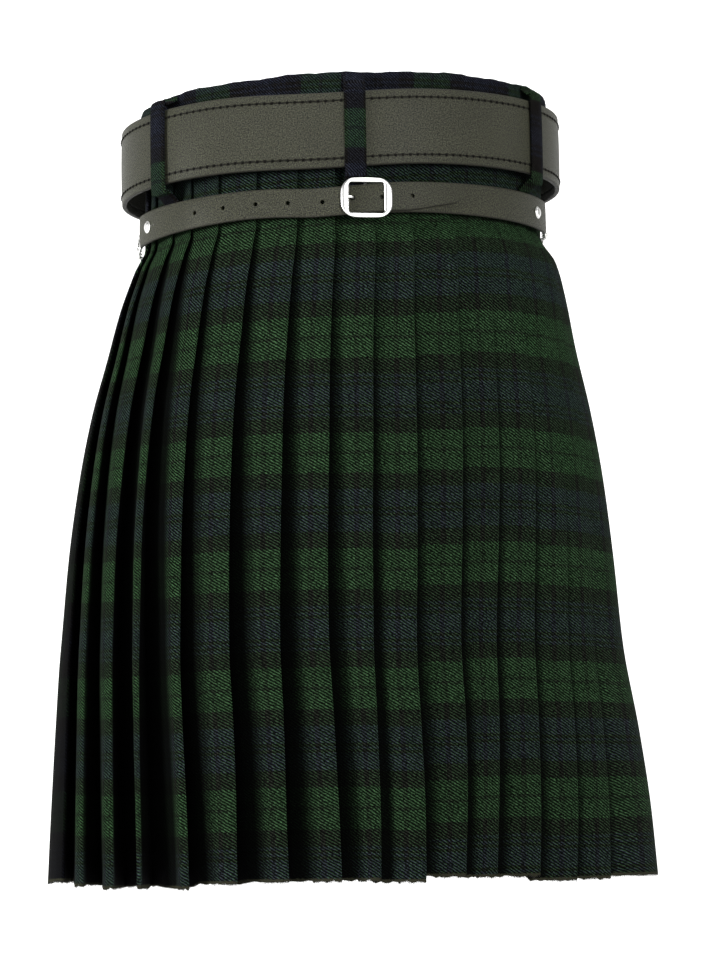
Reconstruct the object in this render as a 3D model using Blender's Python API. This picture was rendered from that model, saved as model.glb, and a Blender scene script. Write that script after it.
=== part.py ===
"""Scottish kilt in its worn shape, with its wide belt and its narrow buckled strap.

Metres, +Z up. The origin is the middle of the waist opening, level with the top
edge, and the cloth hangs down from it. The back of the kilt faces -Y, the wearer
faces +Y, and +X is the wearer's right.

Every wall of cloth or leather is drawn in the same way. A path of stations runs
round the body, and each station is an angle in degrees from the middle of the
back, positive towards the wearer's right, with a height out from the body's
curve. The path is repeated at several levels and given its thickness.
"""

import math

import bmesh
import bpy
import numpy as np
from mathutils import Matrix, Vector

# Cloth sizes
KILT_LENGTH = 0.61
CLOTH = 0.0011
SEAM_GAP = 0.0003
LAYER_STEP = CLOTH + 2 * SEAM_GAP
STITCHED_DOWN_TO = 0.110
LEVELS = (0.0, 0.050, 0.110, 0.130, 0.170, 0.235, 0.320, 0.420, 0.515, 0.610)

# The body's curve that the cloth hangs on: an ellipse at each depth below the top edge.
# Columns: depth, half width, half depth front to back, and the middle's shift along X.
BODY = (
    (0.000, 0.1572, 0.1170, 0.0030),
    (0.050, 0.1560, 0.1175, 0.0018),
    (0.110, 0.1550, 0.1180, 0.0000),
    (0.130, 0.1650, 0.1225, 0.0010),
    (0.160, 0.1740, 0.1290, -0.0008),
    (0.200, 0.1825, 0.1340, -0.0028),
    (0.250, 0.1942, 0.1400, -0.0042),
    (0.300, 0.2027, 0.1450, -0.0050),
    (0.360, 0.2098, 0.1500, -0.0062),
    (0.430, 0.2157, 0.1545, -0.0068),
    (0.500, 0.2235, 0.1590, -0.0038),
    (0.560, 0.2288, 0.1620, -0.0018),
    (0.610, 0.2318, 0.1645, -0.0012),
)

# How much higher the wearer's right side of the waist sits, as a slope along X.
WAIST_TILT = 0.034
TILT_FADES_BY = 0.330

# The knife pleats, from the wearer's left hip round the back to the right hip.
# Columns: angle of the folded edge at the waist, and at the hem; how far beyond that
# edge the next face starts at the hem; how deep the pleat's valley is there; how far
# the folded edge stands out there; and how much lower than the rest the pleat hangs.
# Angles are degrees, and the other three are millimetres.
PLEATS = (
    (-80.6, -70.0, 2.0, 10.0, 5.0, -2.0),
    (-72.9, -61.9, 4.6, 24.0, 5.0, 1.5),
    (-61.3, -52.2, 4.6, 27.0, 5.0, 3.5),
    (-52.4, -44.4, 5.6, 27.0, 6.0, 3.0),
    (-41.6, -34.1, 3.2, 25.0, 5.0, 4.0),
    (-29.0, -24.3, 3.6, 25.0, 5.0, 1.0),
    (-16.9, -14.9, 2.9, 22.0, 4.5, 0.0),
    (-6.5, -5.8, 2.6, 18.0, 4.2, 0.0),
    (4.2, 1.5, 0.3, 4.0, 3.6, 0.0),
    (14.5, 9.4, 0.3, 6.0, 5.0, 1.5),
    (27.0, 17.0, 0.3, 4.0, 3.8, -2.0),
    (38.1, 23.3, 0.3, 4.0, 3.6, -1.0),
    (49.5, 32.1, 0.3, 5.0, 4.2, -1.0),
    (61.1, 41.6, 0.3, 5.0, 4.2, 2.5),
    (71.0, 51.7, 0.3, 6.0, 5.0, 2.0),
    (83.0, 77.0, 0.5, 9.0, 9.0, 0.5),
)
LAST_PLEAT = len(PLEATS) - 1
SPLIT_PLEAT = 7
WAIST_LIFT = 0.0036
WAIST_VALLEY = 0.0021
WAIST_MOUTH = 0.15
UNDERLAP_SHARE = 0.55
UNDERLAP_MAX = 6.2
FOLD_TURN_SHARE = 0.08
BEFORE_FIRST_PLEAT = 9.0

# The two aprons that cross over at the front
APRON_STEP = 5.0
OVER_APRON_EDGE = -232.0
OVER_APRON_HIP = -100.0
OVER_APRON_LIFT = 0.0019
OVER_APRON_EASE = (-130.0, -103.0)
UNDER_APRON_EDGE = 236.0
UNDER_APRON_START = 7.0
APRON_WAVE = 0.0045
APRON_WAVES = 9.0
APRON_WAVE_FROM = (95.0, 130.0)
APRON_WAVE_TO = (230.0, 265.0)

# The waistband
BAND_HEIGHT = 0.040
BAND_END = 126.2
BAND_END_GAP = 0.4
BAND_RISE = (-112.0, -100.0)
BAND_FALL = (93.0, 103.0)
BAND_ON_APRON = OVER_APRON_LIFT + LAYER_STEP
BAND_ON_PLEATS = WAIST_LIFT + LAYER_STEP
BAND_ON_UNDER = LAYER_STEP

# The wide belt and its plate
BELT_HALF_WIDTH = 0.1738
BELT_HALF_DEPTH = 0.1268
BELT_LEATHER = 0.0036
BELT_TOP = 0.0135
BELT_HEIGHT = 0.0585
BELT_STEP = 7.0
BELT_JOIN = 179.8
PLATE_WIDTH = 0.086
PLATE_HEIGHT = 0.066
PLATE_METAL = 0.0030
PLATE_CORNER = 0.010
PLATE_STEPS = 10

# The cloth loops that carry the belt
LOOP_WIDTH = 0.0165
LOOP_CLOTH = 0.0013
LOOP_ANGLES = {"left": -60.1, "centre": -1.5, "right": 57.4}
LOOP_TOP = 0.0015
LOOP_BOTTOM = 0.0980
LOOP_FOOT_CLEAR = 0.0004

# The line a loop takes from its top edge to its foot. Columns: which end a point belongs
# to, how far it stands out from there, how far it lies below, and its share of the way
# out to the belt's face: 0 counts from the loop's end, and others from the belt's edge.
LOOP_ROUTE = (
    ("top", 0.0000, 0.0000, 0.0),
    ("top", 0.0004, 0.0030, 0.0),
    ("top", 0.0000, -0.0042, 0.75),
    ("top", 0.0000, -0.0010, 1.0),
    ("foot", 0.0000, 0.0010, 1.0),
    ("foot", 0.0000, 0.0042, 0.75),
    ("foot", 0.0010, -0.0185, 0.0),
    ("foot", 0.0001, -0.0130, 0.0),
    ("foot", 0.0000, 0.0000, 0.0),
)

# How much the belt and the strap sag a little left of the middle of the back
SAG = 0.0035
SAG_ANGLE = -8.5
BELT_SAG_REACH = 20.0
STRAP_SAG_REACH = 14.0

# The narrow strap and its centre-bar buckle. Each part is wider at its riveted end.
STRAP_DEPTH = 0.0985
STRAP_LEFT_HEIGHTS = (0.0252, 0.0222)
STRAP_LEFT_NARROWS = (-82.0, -25.0)
STRAP_RIGHT_HEIGHTS = (0.0234, 0.0258)
STRAP_RIGHT_WIDENS = (2.0, 72.0)
STRAP_LEATHER = 0.0026
STRAP_OUT = 0.0088
STRAP_STEP = 5.0
STRAP_LEFT_END = -79.5
STRAP_RIGHT_END = 74.5
STRAP_TAIL_END = 30.7
TAIL_CUTS = ((3.0, 0.0), (1.0, 0.08), (0.0, 0.30))
TAIL_LIFTS = (-16.0, -8.0)
UPPER_LAYER = STRAP_LEATHER + SEAM_GAP
BUCKLE_ANGLE = 2.1
BUCKLE_WIDTH = 0.0395
BUCKLE_HEIGHT = 0.0310
BUCKLE_WIRE = 0.0045
BUCKLE_METAL = 0.0028
BUCKLE_CORNER = 0.22
BUCKLE_LEVEL = UPPER_LAYER + STRAP_LEATHER / 2 + SEAM_GAP + BUCKLE_METAL / 2
BAR_HALF_WIDTH = 0.0014
BAR_HALF_FOOT = 0.0012
BAR_THICKNESS = 0.0014
BAR_ROOM = 0.0022
PRONG_RADIUS = 0.0010
PRONG_ROUTE = ((-0.0026, -0.0002), (-0.0086, -0.0002), (-0.0097, 0.0006), (-0.0101, 0.0018),
               (-0.0103, 0.0044))
PRONG_HOLE_RADIUS = 0.0019
PRONG_HOLE_REACH = 0.0103
HOLE_RADIUS = 0.0017
HOLE_CUT_DEPTH = 0.012
HOLE_ANGLES = (-48.0, -38.1, -28.1, -18.9, -9.5, 6.2, 14.6)
HOLE_SIDES = 10
RIVET_RADIUS = 0.0047
RIVET_HEIGHT = 0.0022
RIVET_INSETS = {"left": 7.8, "right": 9.6}
RIVET_ROWS = 3
RIVET_SIDES = 12

# The chain that carries the strap round the front
RING_RADIUS = 0.0062
RING_WIRE = 0.0011
RING_DROP = 0.008
RING_STEPS = 16
RING_SIDES = 6
CHAIN_RADIUS = 0.0024
CHAIN_OUT_SIDE = 0.0074
CHAIN_OUT_FRONT = 0.0066
CHAIN_ON_APRON = (100.0, 125.0)
CHAIN_STEP = 3.0
CHAIN_GAP = 0.6
CHAIN_DROP = 0.010
CHAIN_SAG = 0.020
CLASP_RADIUS = 0.0075

# The strap and buckle that close the over-apron on the right hip
HIP_DEPTH = 0.150
HIP_STRAP_HEIGHT = 0.022
HIP_LEATHER = 0.0022
HIP_WAVE_ROOM = 0.00054
HIP_STRAP_STEP = 4.0
HIP_STRAP_FROM = 140.0
HIP_STRAP_TIP = 108.0
HIP_BUCKLE_ANGLE = 113.0
HIP_BUCKLE_WIDTH = 0.030
HIP_BUCKLE_HEIGHT = 0.034

GREEN_TARTAN = ((0.012, 0.030, 0.014), 0.85, 0.0)
BLACK_LEATHER = ((0.030, 0.029, 0.026), 0.50, 0.0)
SILVER = ((0.75, 0.75, 0.74), 0.22, 1.0)


def material(name, finish):
    """A Principled material from a colour, a roughness and a metallic value."""
    colour, roughness, metallic = finish
    made = bpy.data.materials.new(name)
    made.use_nodes = True
    shader = made.node_tree.nodes["Principled BSDF"]
    shader.inputs["Base Color"].default_value = (*colour, 1.0)
    shader.inputs["Roughness"].default_value = roughness
    shader.inputs["Metallic"].default_value = metallic
    return made


def add_object(name, bm, finish, smooth=True):
    """Link a bmesh as one named object with its own material, faces pointing out."""
    bmesh.ops.recalc_face_normals(bm, faces=bm.faces)
    mesh = bpy.data.meshes.new(name)
    bm.to_mesh(mesh)
    bm.free()
    if smooth:
        mesh.shade_smooth()
        mesh.set_sharp_from_angle(angle=math.radians(40))
    mesh.materials.append(material(name, finish))
    thing = bpy.data.objects.new(name, mesh)
    bpy.context.scene.collection.objects.link(thing)
    return thing


def smooth_column(column, depth):
    """Read one column of BODY at a depth, on a smooth curve through its rows."""
    depths = np.array([row[0] for row in BODY])
    values = np.array([row[column] for row in BODY])
    rises = np.diff(values) / np.diff(depths)
    steady = rises[1:] * rises[:-1] > 0
    inner = np.zeros(len(rises) - 1)
    np.divide(2 * rises[1:] * rises[:-1], rises[1:] + rises[:-1], out=inner, where=steady)
    slopes = np.concatenate((rises[:1], inner, rises[-1:]))
    low = int(np.clip(np.searchsorted(depths, depth) - 1, 0, len(depths) - 2))
    span = depths[low + 1] - depths[low]
    part = min(max((depth - depths[low]) / span, 0.0), 1.0)
    start = values[low] * (1 + 2 * part) * (1 - part) ** 2
    end = values[low + 1] * part**2 * (3 - 2 * part)
    leave = slopes[low] * span * part * (1 - part) ** 2
    arrive = slopes[low + 1] * span * part**2 * (part - 1)
    return float(start + end + leave + arrive)


def body_ellipse(depth):
    """Half width, half depth and shift of the body's curve at a depth below the top edge."""
    return smooth_column(1, depth), smooth_column(2, depth), smooth_column(3, depth)


def on_ellipse(ellipse, angle, out):
    """A point at an angle from the middle of the back, moved out along the normal."""
    half_width, half_depth, shift = ellipse
    turn = math.radians(angle)
    point = Vector((half_width * math.sin(turn) + shift, -half_depth * math.cos(turn)))
    normal = Vector((half_depth * math.sin(turn), -half_width * math.cos(turn))).normalized()
    return point + normal * out


def degrees_per_metre(ellipse, angle):
    """How many degrees of the angle one metre along the ellipse takes."""
    turn = math.radians(angle)
    along = math.hypot(ellipse[0] * math.cos(turn), ellipse[1] * math.sin(turn))
    return math.degrees(1.0 / along)


def height_at(depth, across):
    """The height of a place on the kilt, from its depth and how far along X it is."""
    return WAIST_TILT * (1.0 - ease(STITCHED_DOWN_TO, TILT_FADES_BY, depth)) * across - depth


def opening(depth):
    """How far down the free part of the pleats a depth lies, from 0 to 1."""
    return max(0.0, (depth - STITCHED_DOWN_TO) / (KILT_LENGTH - STITCHED_DOWN_TO))


def blend(start, end, share):
    return start + (end - start) * share


def ease(low, high, value):
    """A smooth step from 0 at low to 1 at high."""
    part = min(max((value - low) / (high - low), 0.0), 1.0)
    return part * part * (3 - 2 * part)


def pleat_at(index, depth):
    """Folded edge, next face's start, valley, lift and drop of one pleat at a depth."""
    waist, hem, mouth, valley, lift, drop = PLEATS[index]
    free = opening(depth)
    edge = blend(waist, hem, free**0.9)
    face_start = edge + WAIST_MOUTH + mouth * free**0.6
    valley_depth = blend(WAIST_VALLEY, valley / 1000, free**0.75)
    edge_lift = blend(WAIST_LIFT, lift / 1000, free**0.75)
    return edge, face_start, valley_depth, edge_lift, drop / 1000


def fold_stations(index, depth):
    """The folded edge of a pleat and the two hidden layers, down to the inner fold."""
    edge, face_start, valley, lift, drop = pleat_at(index, depth)
    before = pleat_at(index - 1, depth)[0] if index else edge - BEFORE_FIRST_PLEAT
    underlap = min(UNDERLAP_SHARE * (edge - before), UNDERLAP_MAX)
    turn = LAYER_STEP + FOLD_TURN_SHARE * valley
    inner = edge - underlap
    return [
        (edge, lift, drop),
        (edge, lift - LAYER_STEP, drop),
        (inner, turn - valley, drop),
        (inner, -valley, drop),
        (face_start, 0.0, drop),
    ]


def face_stations(index, depth, count=2):
    """Stations between the start of a pleat's face and its folded edge."""
    start = pleat_at(index - 1, depth)[1]
    edge, _, _, lift, drop = pleat_at(index, depth)
    shares = [(step + 1) / (count + 1) for step in range(count)]
    return [(blend(start, edge, share), lift * share, drop) for share in shares]


def split_inner_layer(stations, depth, keep_start):
    """Cut the last hidden layer near its middle, leaving the seam gap in it."""
    inner, start = stations[-2], stations[-1]
    length = math.hypot(
        (start[0] - inner[0]) / degrees_per_metre(body_ellipse(depth), start[0]),
        start[1] - inner[1],
    )
    share = 0.5 if keep_start else 0.5 + SEAM_GAP * 1.2 / length
    cut = tuple(blend(a, b, share) for a, b in zip(inner, start))
    return stations[:-1] + [cut] if keep_start else [cut, start]


def pleats_path(first, last):
    """The path of the pleated cloth after the fold of one pleat to that of another."""
    def path(depth):
        stations = split_inner_layer(fold_stations(first, depth), depth, False)
        for index in range(first + 1, last + 1):
            stations += face_stations(index, depth)
            stations += fold_stations(index, depth)
        return split_inner_layer(stations, depth, True)
    return path


def apron_wave(angle, depth):
    """The soft wave that the plain aprons hang in, growing towards the hem."""
    around = angle % 360.0
    fade = ease(*APRON_WAVE_FROM, around) * (1.0 - ease(*APRON_WAVE_TO, around))
    return APRON_WAVE * fade * opening(depth) * math.sin(math.radians(APRON_WAVES * around))


def spaced(start, end, step):
    """Evenly spaced values from start to end, about one step apart."""
    count = max(1, round(abs(end - start) / step))
    return [blend(start, end, index / count) for index in range(count + 1)]


def over_apron_path(depth):
    stations = []
    for angle in spaced(OVER_APRON_EDGE, OVER_APRON_HIP, APRON_STEP):
        settle = 1.0 - ease(*OVER_APRON_EASE, angle)
        stations.append((angle, OVER_APRON_LIFT * settle + apron_wave(angle, depth), 0.0))
    edge, _, _, lift, drop = pleat_at(0, depth)
    for share in (0.35, 0.7):
        stations.append((blend(OVER_APRON_HIP, edge, share), lift * share, drop * share))
    return split_inner_layer(stations + fold_stations(0, depth), depth, True)


def under_apron_path(depth):
    stations = split_inner_layer(fold_stations(LAST_PLEAT, depth), depth, False)
    start = stations[-1][0] + UNDER_APRON_START
    for angle in spaced(start, UNDER_APRON_EDGE, APRON_STEP):
        stations.append((angle, apron_wave(angle, depth), 0.0))
    return stations


def mitred_sides(line, thickness):
    """The two sides of a wall drawn along a line of points."""
    points = np.array(line)
    steps = np.diff(points, axis=0)
    steps /= np.linalg.norm(steps, axis=1)[:, None]
    across = np.stack([-steps[:, 1], steps[:, 0]], axis=1)
    before = np.vstack([across[:1], across])
    after = np.vstack([across, across[-1:]])
    middle = before + after
    middle /= np.linalg.norm(middle, axis=1)[:, None]
    reach = 1.0 / np.maximum(np.sum(middle * after, axis=1), 0.36)
    offset = middle * reach[:, None] * thickness / 2
    return points + offset, points - offset


def wall_mesh(rings):
    """A closed wall from rings, each a pair of matching sides of 3D points."""
    bm = bmesh.new()
    rows = [[[bm.verts.new(point) for point in side] for side in ring] for ring in rings]
    last = len(rows[0][0]) - 1
    for upper, lower in zip(rows, rows[1:]):
        for side in (0, 1):
            for step in range(last):
                bm.faces.new((upper[side][step], upper[side][step + 1],
                              lower[side][step + 1], lower[side][step]))
        for end in (0, last):
            bm.faces.new((upper[0][end], lower[0][end], lower[1][end], upper[1][end]))
    for row in (rows[0], rows[-1]):
        for step in range(last):
            bm.faces.new((row[0][step], row[0][step + 1], row[1][step + 1], row[1][step]))
    return bm


def cloth_wall(name, path, levels=LEVELS):
    """A wall of cloth whose path is worked out afresh at each level."""
    rings = []
    for level in levels:
        ellipse = body_ellipse(level)
        stations = path(level)
        line = [on_ellipse(ellipse, angle, out) for angle, out, _ in stations]
        drops = [drop * level / KILT_LENGTH for _, _, drop in stations]
        sides = mitred_sides(line, CLOTH)
        rings.append([[(*point, height_at(level, point[0]) - drop)
                       for point, drop in zip(side, drops)] for side in sides])
    return add_object(name, wall_mesh(rings), GREEN_TARTAN)


def upright_band(name, ellipse, stations, thickness):
    """A leather band that stands upright round an ellipse, with square edges.

    A station is an angle, how far it stands out, and the depths of both edges there."""
    line = [on_ellipse(ellipse, angle, out) for angle, out, _, _ in stations]
    sides = mitred_sides(line, thickness)
    rings = []
    for edge in (2, 3):
        rings.append([[(*point, WAIST_TILT * point[0] - station[edge])
                       for point, station in zip(side, stations)] for side in sides])
    return add_object(name, wall_mesh(rings), BLACK_LEATHER)


def sag(angle, reach):
    """How much lower a band hangs at an angle than an even line would."""
    return SAG * math.exp(-((angle - SAG_ANGLE) / reach) ** 2)


def frame_on(ellipse, angle, out, depth):
    """A frame on a band: X along it, Y up and Z straight out from the body."""
    place = on_ellipse(ellipse, angle, out)
    ahead = (on_ellipse(ellipse, angle + 0.5, out) - on_ellipse(ellipse, angle - 0.5, out))
    along = Vector((*ahead.normalized(), 0.0))
    up = Vector((0.0, 0.0, 1.0))
    outward = along.cross(up)
    turn = Matrix((along, up, outward)).transposed().to_4x4()
    return Matrix.Translation((*place, height_at(depth, place.x))) @ turn


def tube_mesh(points, radius, sides):
    """A round tube along points, capped at both ends."""
    bm = bmesh.new()
    last = len(points) - 1
    rings = []
    for index, point in enumerate(points):
        along = (points[min(index + 1, last)] - points[max(index - 1, 0)]).normalized()
        side = along.cross(Vector((0.12, 0.2, 1.0))).normalized()
        up = side.cross(along)
        ring = []
        for corner in range(sides):
            turn = 2 * math.pi * corner / sides
            ring.append(bm.verts.new(point + (side * math.cos(turn) + up * math.sin(turn)) * radius))
        rings.append(ring)
    for first, second in zip(rings, rings[1:]):
        for corner in range(sides):
            nearby = (corner + 1) % sides
            bm.faces.new((first[corner], first[nearby], second[nearby], second[corner]))
    bm.faces.new(rings[0])
    bm.faces.new(reversed(rings[-1]))
    return bm


def waistband():
    """The straight band of cloth sewn round the outside of the top edge."""
    def path(_):
        stations = []
        for angle in spaced(OVER_APRON_EDGE + BAND_END_GAP, BAND_END, APRON_STEP):
            on_pleats = ease(*BAND_RISE, angle) * (1.0 - ease(*BAND_FALL, angle))
            flat = BAND_ON_APRON if angle < 0.0 else BAND_ON_UNDER
            stations.append((angle, blend(flat, BAND_ON_PLEATS, on_pleats), 0.0))
        return stations
    return cloth_wall("waistband", path, levels=(0.0, BAND_HEIGHT))


def belt_ellipse():
    return BELT_HALF_WIDTH, BELT_HALF_DEPTH, 0.0


def wide_belt():
    """The wide leather belt, its two ends meeting behind the plate at the front."""
    stations = []
    for angle in spaced(-BELT_JOIN, BELT_JOIN, BELT_STEP):
        top = BELT_TOP + sag(angle, BELT_SAG_REACH)
        stations.append((angle, 0.0, top, top + BELT_HEIGHT))
    return upright_band("wide_belt", belt_ellipse(), stations, BELT_LEATHER)


def belt_plate():
    """A plain metal plate with rounded corners, curved to the belt it closes."""
    rows = ((0.0, PLATE_CORNER), (0.3 * PLATE_CORNER, 0.3 * PLATE_CORNER), (PLATE_CORNER, 0.0))
    rows += tuple((PLATE_HEIGHT - down, inset) for down, inset in reversed(rows))
    out = BELT_LEATHER / 2 + SEAM_GAP * 1.5 + PLATE_METAL / 2
    top = BELT_TOP - (PLATE_HEIGHT - BELT_HEIGHT) / 2
    to_degrees = degrees_per_metre(belt_ellipse(), 180.0)
    rings = []
    for down, inset in rows:
        reach = (PLATE_WIDTH / 2 - inset) * to_degrees
        angles = spaced(180.0 - reach, 180.0 + reach, 2 * reach / PLATE_STEPS)
        line = [on_ellipse(belt_ellipse(), angle, out) for angle in angles]
        sides = mitred_sides(line, PLATE_METAL)
        rings.append([[(*point, height_at(top + down, point[0])) for point in side]
                      for side in sides])
    return add_object("belt_plate", wall_mesh(rings), SILVER)


def belt_loop(side, angle):
    """A strip of tartan from the top edge, over the belt, to behind the strap."""
    top_place = on_ellipse(body_ellipse(0.0), angle, BAND_ON_PLEATS)
    belt_place = on_ellipse(belt_ellipse(), angle, 0.0)
    outward = frame_on(body_ellipse(0.0), angle, 0.0, 0.0).to_3x3().col[2].to_2d()
    rest = CLOTH / 2 + SEAM_GAP * 1.5 + LOOP_CLOTH / 2
    clear = (belt_place - top_place).dot(outward) + BELT_LEATHER / 2 + SEAM_GAP * 2 + LOOP_CLOTH / 2
    lower = on_ellipse(body_ellipse(LOOP_BOTTOM), angle, WAIST_LIFT)
    foot = (lower - top_place).dot(outward) + rest + LOOP_FOOT_CLEAR
    belt_top = BELT_TOP - WAIST_TILT * (belt_place.x - top_place.x)
    belt_top += sag(angle, BELT_SAG_REACH)
    bottom = LOOP_BOTTOM + sag(angle, STRAP_SAG_REACH)
    starts = {"top": (rest, LOOP_TOP), "foot": (foot, bottom)}
    edges = {"top": belt_top, "foot": belt_top + BELT_HEIGHT}
    route = []
    for part, out, below, share in LOOP_ROUTE:
        place, depth = starts[part]
        start = (place, depth) if share == 0.0 else (blend(place, clear, share), edges[part])
        route.append((start[0] + out, start[1] + below))
    sides = mitred_sides([Vector(point) for point in route], LOOP_CLOTH)
    frame = frame_on(body_ellipse(0.0), angle, BAND_ON_PLEATS, 0.0)
    rings = []
    for across in (-LOOP_WIDTH / 2, LOOP_WIDTH / 2):
        rings.append([[frame @ Vector((across, -depth, out)) for out, depth in line]
                      for line in sides])
    return add_object("belt_loop_" + side, wall_mesh(rings), GREEN_TARTAN)


def strap_ellipse():
    return body_ellipse(STRAP_DEPTH)


def strap_depth(angle):
    """How far below the top edge the middle of the strap is."""
    return STRAP_DEPTH + sag(angle, STRAP_SAG_REACH)


def strap_frame(angle, level=0.0):
    """A frame on the narrow strap, at a level out from the middle of its lower layer."""
    return frame_on(strap_ellipse(), angle, STRAP_OUT + level, strap_depth(angle))


def rounded_plate(width, height, thickness, radius, steps=3):
    """A flat plate with rounded corners, lying on the XY plane about its middle."""
    bm = bmesh.new()
    corners = []
    for quarter, (sx, sy) in enumerate(((1, 1), (-1, 1), (-1, -1), (1, -1))):
        centre = Vector((sx * (width / 2 - radius), sy * (height / 2 - radius)))
        for step in range(steps + 1):
            turn = math.radians(90.0 * (quarter + step / steps))
            corners.append(centre + Vector((math.cos(turn), math.sin(turn))) * radius)
    floor = [bm.verts.new((*corner, -thickness / 2)) for corner in corners]
    roof = [bm.verts.new((*corner, thickness / 2)) for corner in corners]
    bm.faces.new(reversed(floor))
    bm.faces.new(roof)
    for index in range(len(corners)):
        nearby = (index + 1) % len(corners)
        bm.faces.new((floor[index], floor[nearby], roof[nearby], roof[index]))
    return bm


def cutter(name, bm):
    """A hidden shape that a Boolean reads."""
    shape = add_object(name, bm, BLACK_LEATHER, smooth=False)
    shape.hide_render = True
    shape.display_type = "WIRE"
    return shape


def boolean(target, tool, operation):
    step = target.modifiers.new(tool.name, "BOOLEAN")
    step.operation = operation
    step.object = tool
    step.solver = "EXACT"


def bar_buckle(name, frame, width, height, drop):
    """A buckle frame with a bar across its middle, set lower so the strap rides over it."""
    radius = BUCKLE_CORNER * height
    wire = BUCKLE_WIRE
    plate = rounded_plate(width, height, BUCKLE_METAL, radius)
    bmesh.ops.transform(plate, matrix=frame, verts=plate.verts)
    buckle = add_object(name, plate, SILVER)
    window = rounded_plate(width - 2 * wire, height - 2 * wire, 3 * BUCKLE_METAL, radius / 2)
    bmesh.ops.transform(window, matrix=frame, verts=window.verts)
    boolean(buckle, cutter(name + "_window", window), "DIFFERENCE")
    bar = bmesh.new()
    outer = height / 2 - wire / 2 + BAR_HALF_FOOT
    inner = outer - 2 * BAR_HALF_FOOT
    roof = BAR_THICKNESS - drop
    outline = ((-outer, 0.0), (-inner, 0.0), (-inner, roof), (inner, roof),
               (inner, 0.0), (outer, 0.0), (outer, -drop), (-outer, -drop))
    sides = []
    for across in (-BAR_HALF_WIDTH, BAR_HALF_WIDTH):
        sides.append([bar.verts.new(frame @ Vector((across, up, out))) for up, out in outline])
    bar.faces.new(reversed(sides[0]))
    bar.faces.new(sides[1])
    for index in range(len(outline)):
        nearby = (index + 1) % len(outline)
        bar.faces.new((sides[0][index], sides[0][nearby], sides[1][nearby], sides[1][index]))
    boolean(buckle, cutter(name + "_bar", bar), "UNION")
    return buckle


def strap_left():
    """The holed part of the strap: from the left rivet, through the buckle, to its tip."""
    angles = spaced(STRAP_LEFT_END, STRAP_TAIL_END - TAIL_CUTS[0][0], STRAP_STEP)
    narrow = [0.0] * (len(angles) - 1) + [cut for _, cut in TAIL_CUTS]
    angles += [STRAP_TAIL_END - before for before, _ in TAIL_CUTS[1:]]
    line = []
    for angle in angles:
        lifted = ease(*TAIL_LIFTS, angle - BUCKLE_ANGLE)
        line.append(on_ellipse(strap_ellipse(), angle, STRAP_OUT + UPPER_LAYER * lifted))
    sides = mitred_sides(line, STRAP_LEATHER)
    rings = []
    for edge in (0.5, -0.5):
        rings.append([])
        for side in sides:
            points = []
            for point, angle, cut in zip(side, angles, narrow):
                wide = blend(*STRAP_LEFT_HEIGHTS, ease(*STRAP_LEFT_NARROWS, angle)) * (1 - cut)
                points.append((*point, height_at(strap_depth(angle), point[0]) + edge * wide))
            rings[-1].append(points)
    strap = add_object("strap_left", wall_mesh(rings), BLACK_LEATHER)
    punch = bmesh.new()
    holes = [(strap_frame(angle, UPPER_LAYER / 2), HOLE_RADIUS) for angle in HOLE_ANGLES]
    beside_bar = Matrix.Translation((-PRONG_HOLE_REACH, 0.0, UPPER_LAYER / 2))
    holes.append((strap_frame(BUCKLE_ANGLE) @ beside_bar, PRONG_HOLE_RADIUS))
    for place, radius in holes:
        bmesh.ops.create_cone(punch, cap_ends=True, segments=HOLE_SIDES, radius1=radius,
                              radius2=radius, depth=HOLE_CUT_DEPTH, matrix=place)
    boolean(strap, cutter("strap_holes", punch), "DIFFERENCE")
    return strap


def strap_right():
    """The plain part of the strap, from the buckle's bar to the right rivet."""
    start = BUCKLE_ANGLE + BAR_ROOM * degrees_per_metre(strap_ellipse(), BUCKLE_ANGLE)
    stations = []
    for angle in spaced(start, STRAP_RIGHT_END, STRAP_STEP):
        half = blend(*STRAP_RIGHT_HEIGHTS, ease(*STRAP_RIGHT_WIDENS, angle)) / 2
        depth = strap_depth(angle)
        stations.append((angle, STRAP_OUT, depth - half, depth + half))
    return upright_band("strap_right", strap_ellipse(), stations, STRAP_LEATHER)


def strap_prong():
    """The prong: up from the bar through the strap, and over to the frame's left side."""
    frame = strap_frame(BUCKLE_ANGLE)
    top = BUCKLE_LEVEL + BUCKLE_METAL / 2 + PRONG_RADIUS + SEAM_GAP
    route = PRONG_ROUTE + ((-0.0112, top - 0.0012), (-0.0126, top), (-0.0160, top))
    points = [frame @ Vector((across, 0.0, out)) for across, out in route]
    return add_object("strap_prong", tube_mesh(points, PRONG_RADIUS, 8), SILVER)


def rivet(name, frame):
    """A domed rivet head that stands on the leather."""
    bm = bmesh.new()
    sides = RIVET_SIDES
    rings = []
    for row in range(RIVET_ROWS):
        rise = math.radians(90.0 * row / RIVET_ROWS)
        radius = RIVET_RADIUS * math.cos(rise)
        ring = []
        for corner in range(sides):
            turn = 2 * math.pi * corner / sides
            flat = Vector((math.cos(turn), math.sin(turn), 0.0)) * radius
            flat.z = RIVET_HEIGHT * math.sin(rise)
            ring.append(bm.verts.new(frame @ flat))
        rings.append(ring)
    top = bm.verts.new(frame @ Vector((0.0, 0.0, RIVET_HEIGHT)))
    bm.faces.new(reversed(rings[0]))
    for lower, upper in zip(rings, rings[1:]):
        for corner in range(sides):
            nearby = (corner + 1) % sides
            bm.faces.new((lower[corner], lower[nearby], upper[nearby], upper[corner]))
    for corner in range(sides):
        bm.faces.new((rings[-1][corner], rings[-1][(corner + 1) % sides], top))
    return add_object(name, bm, SILVER)


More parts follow.
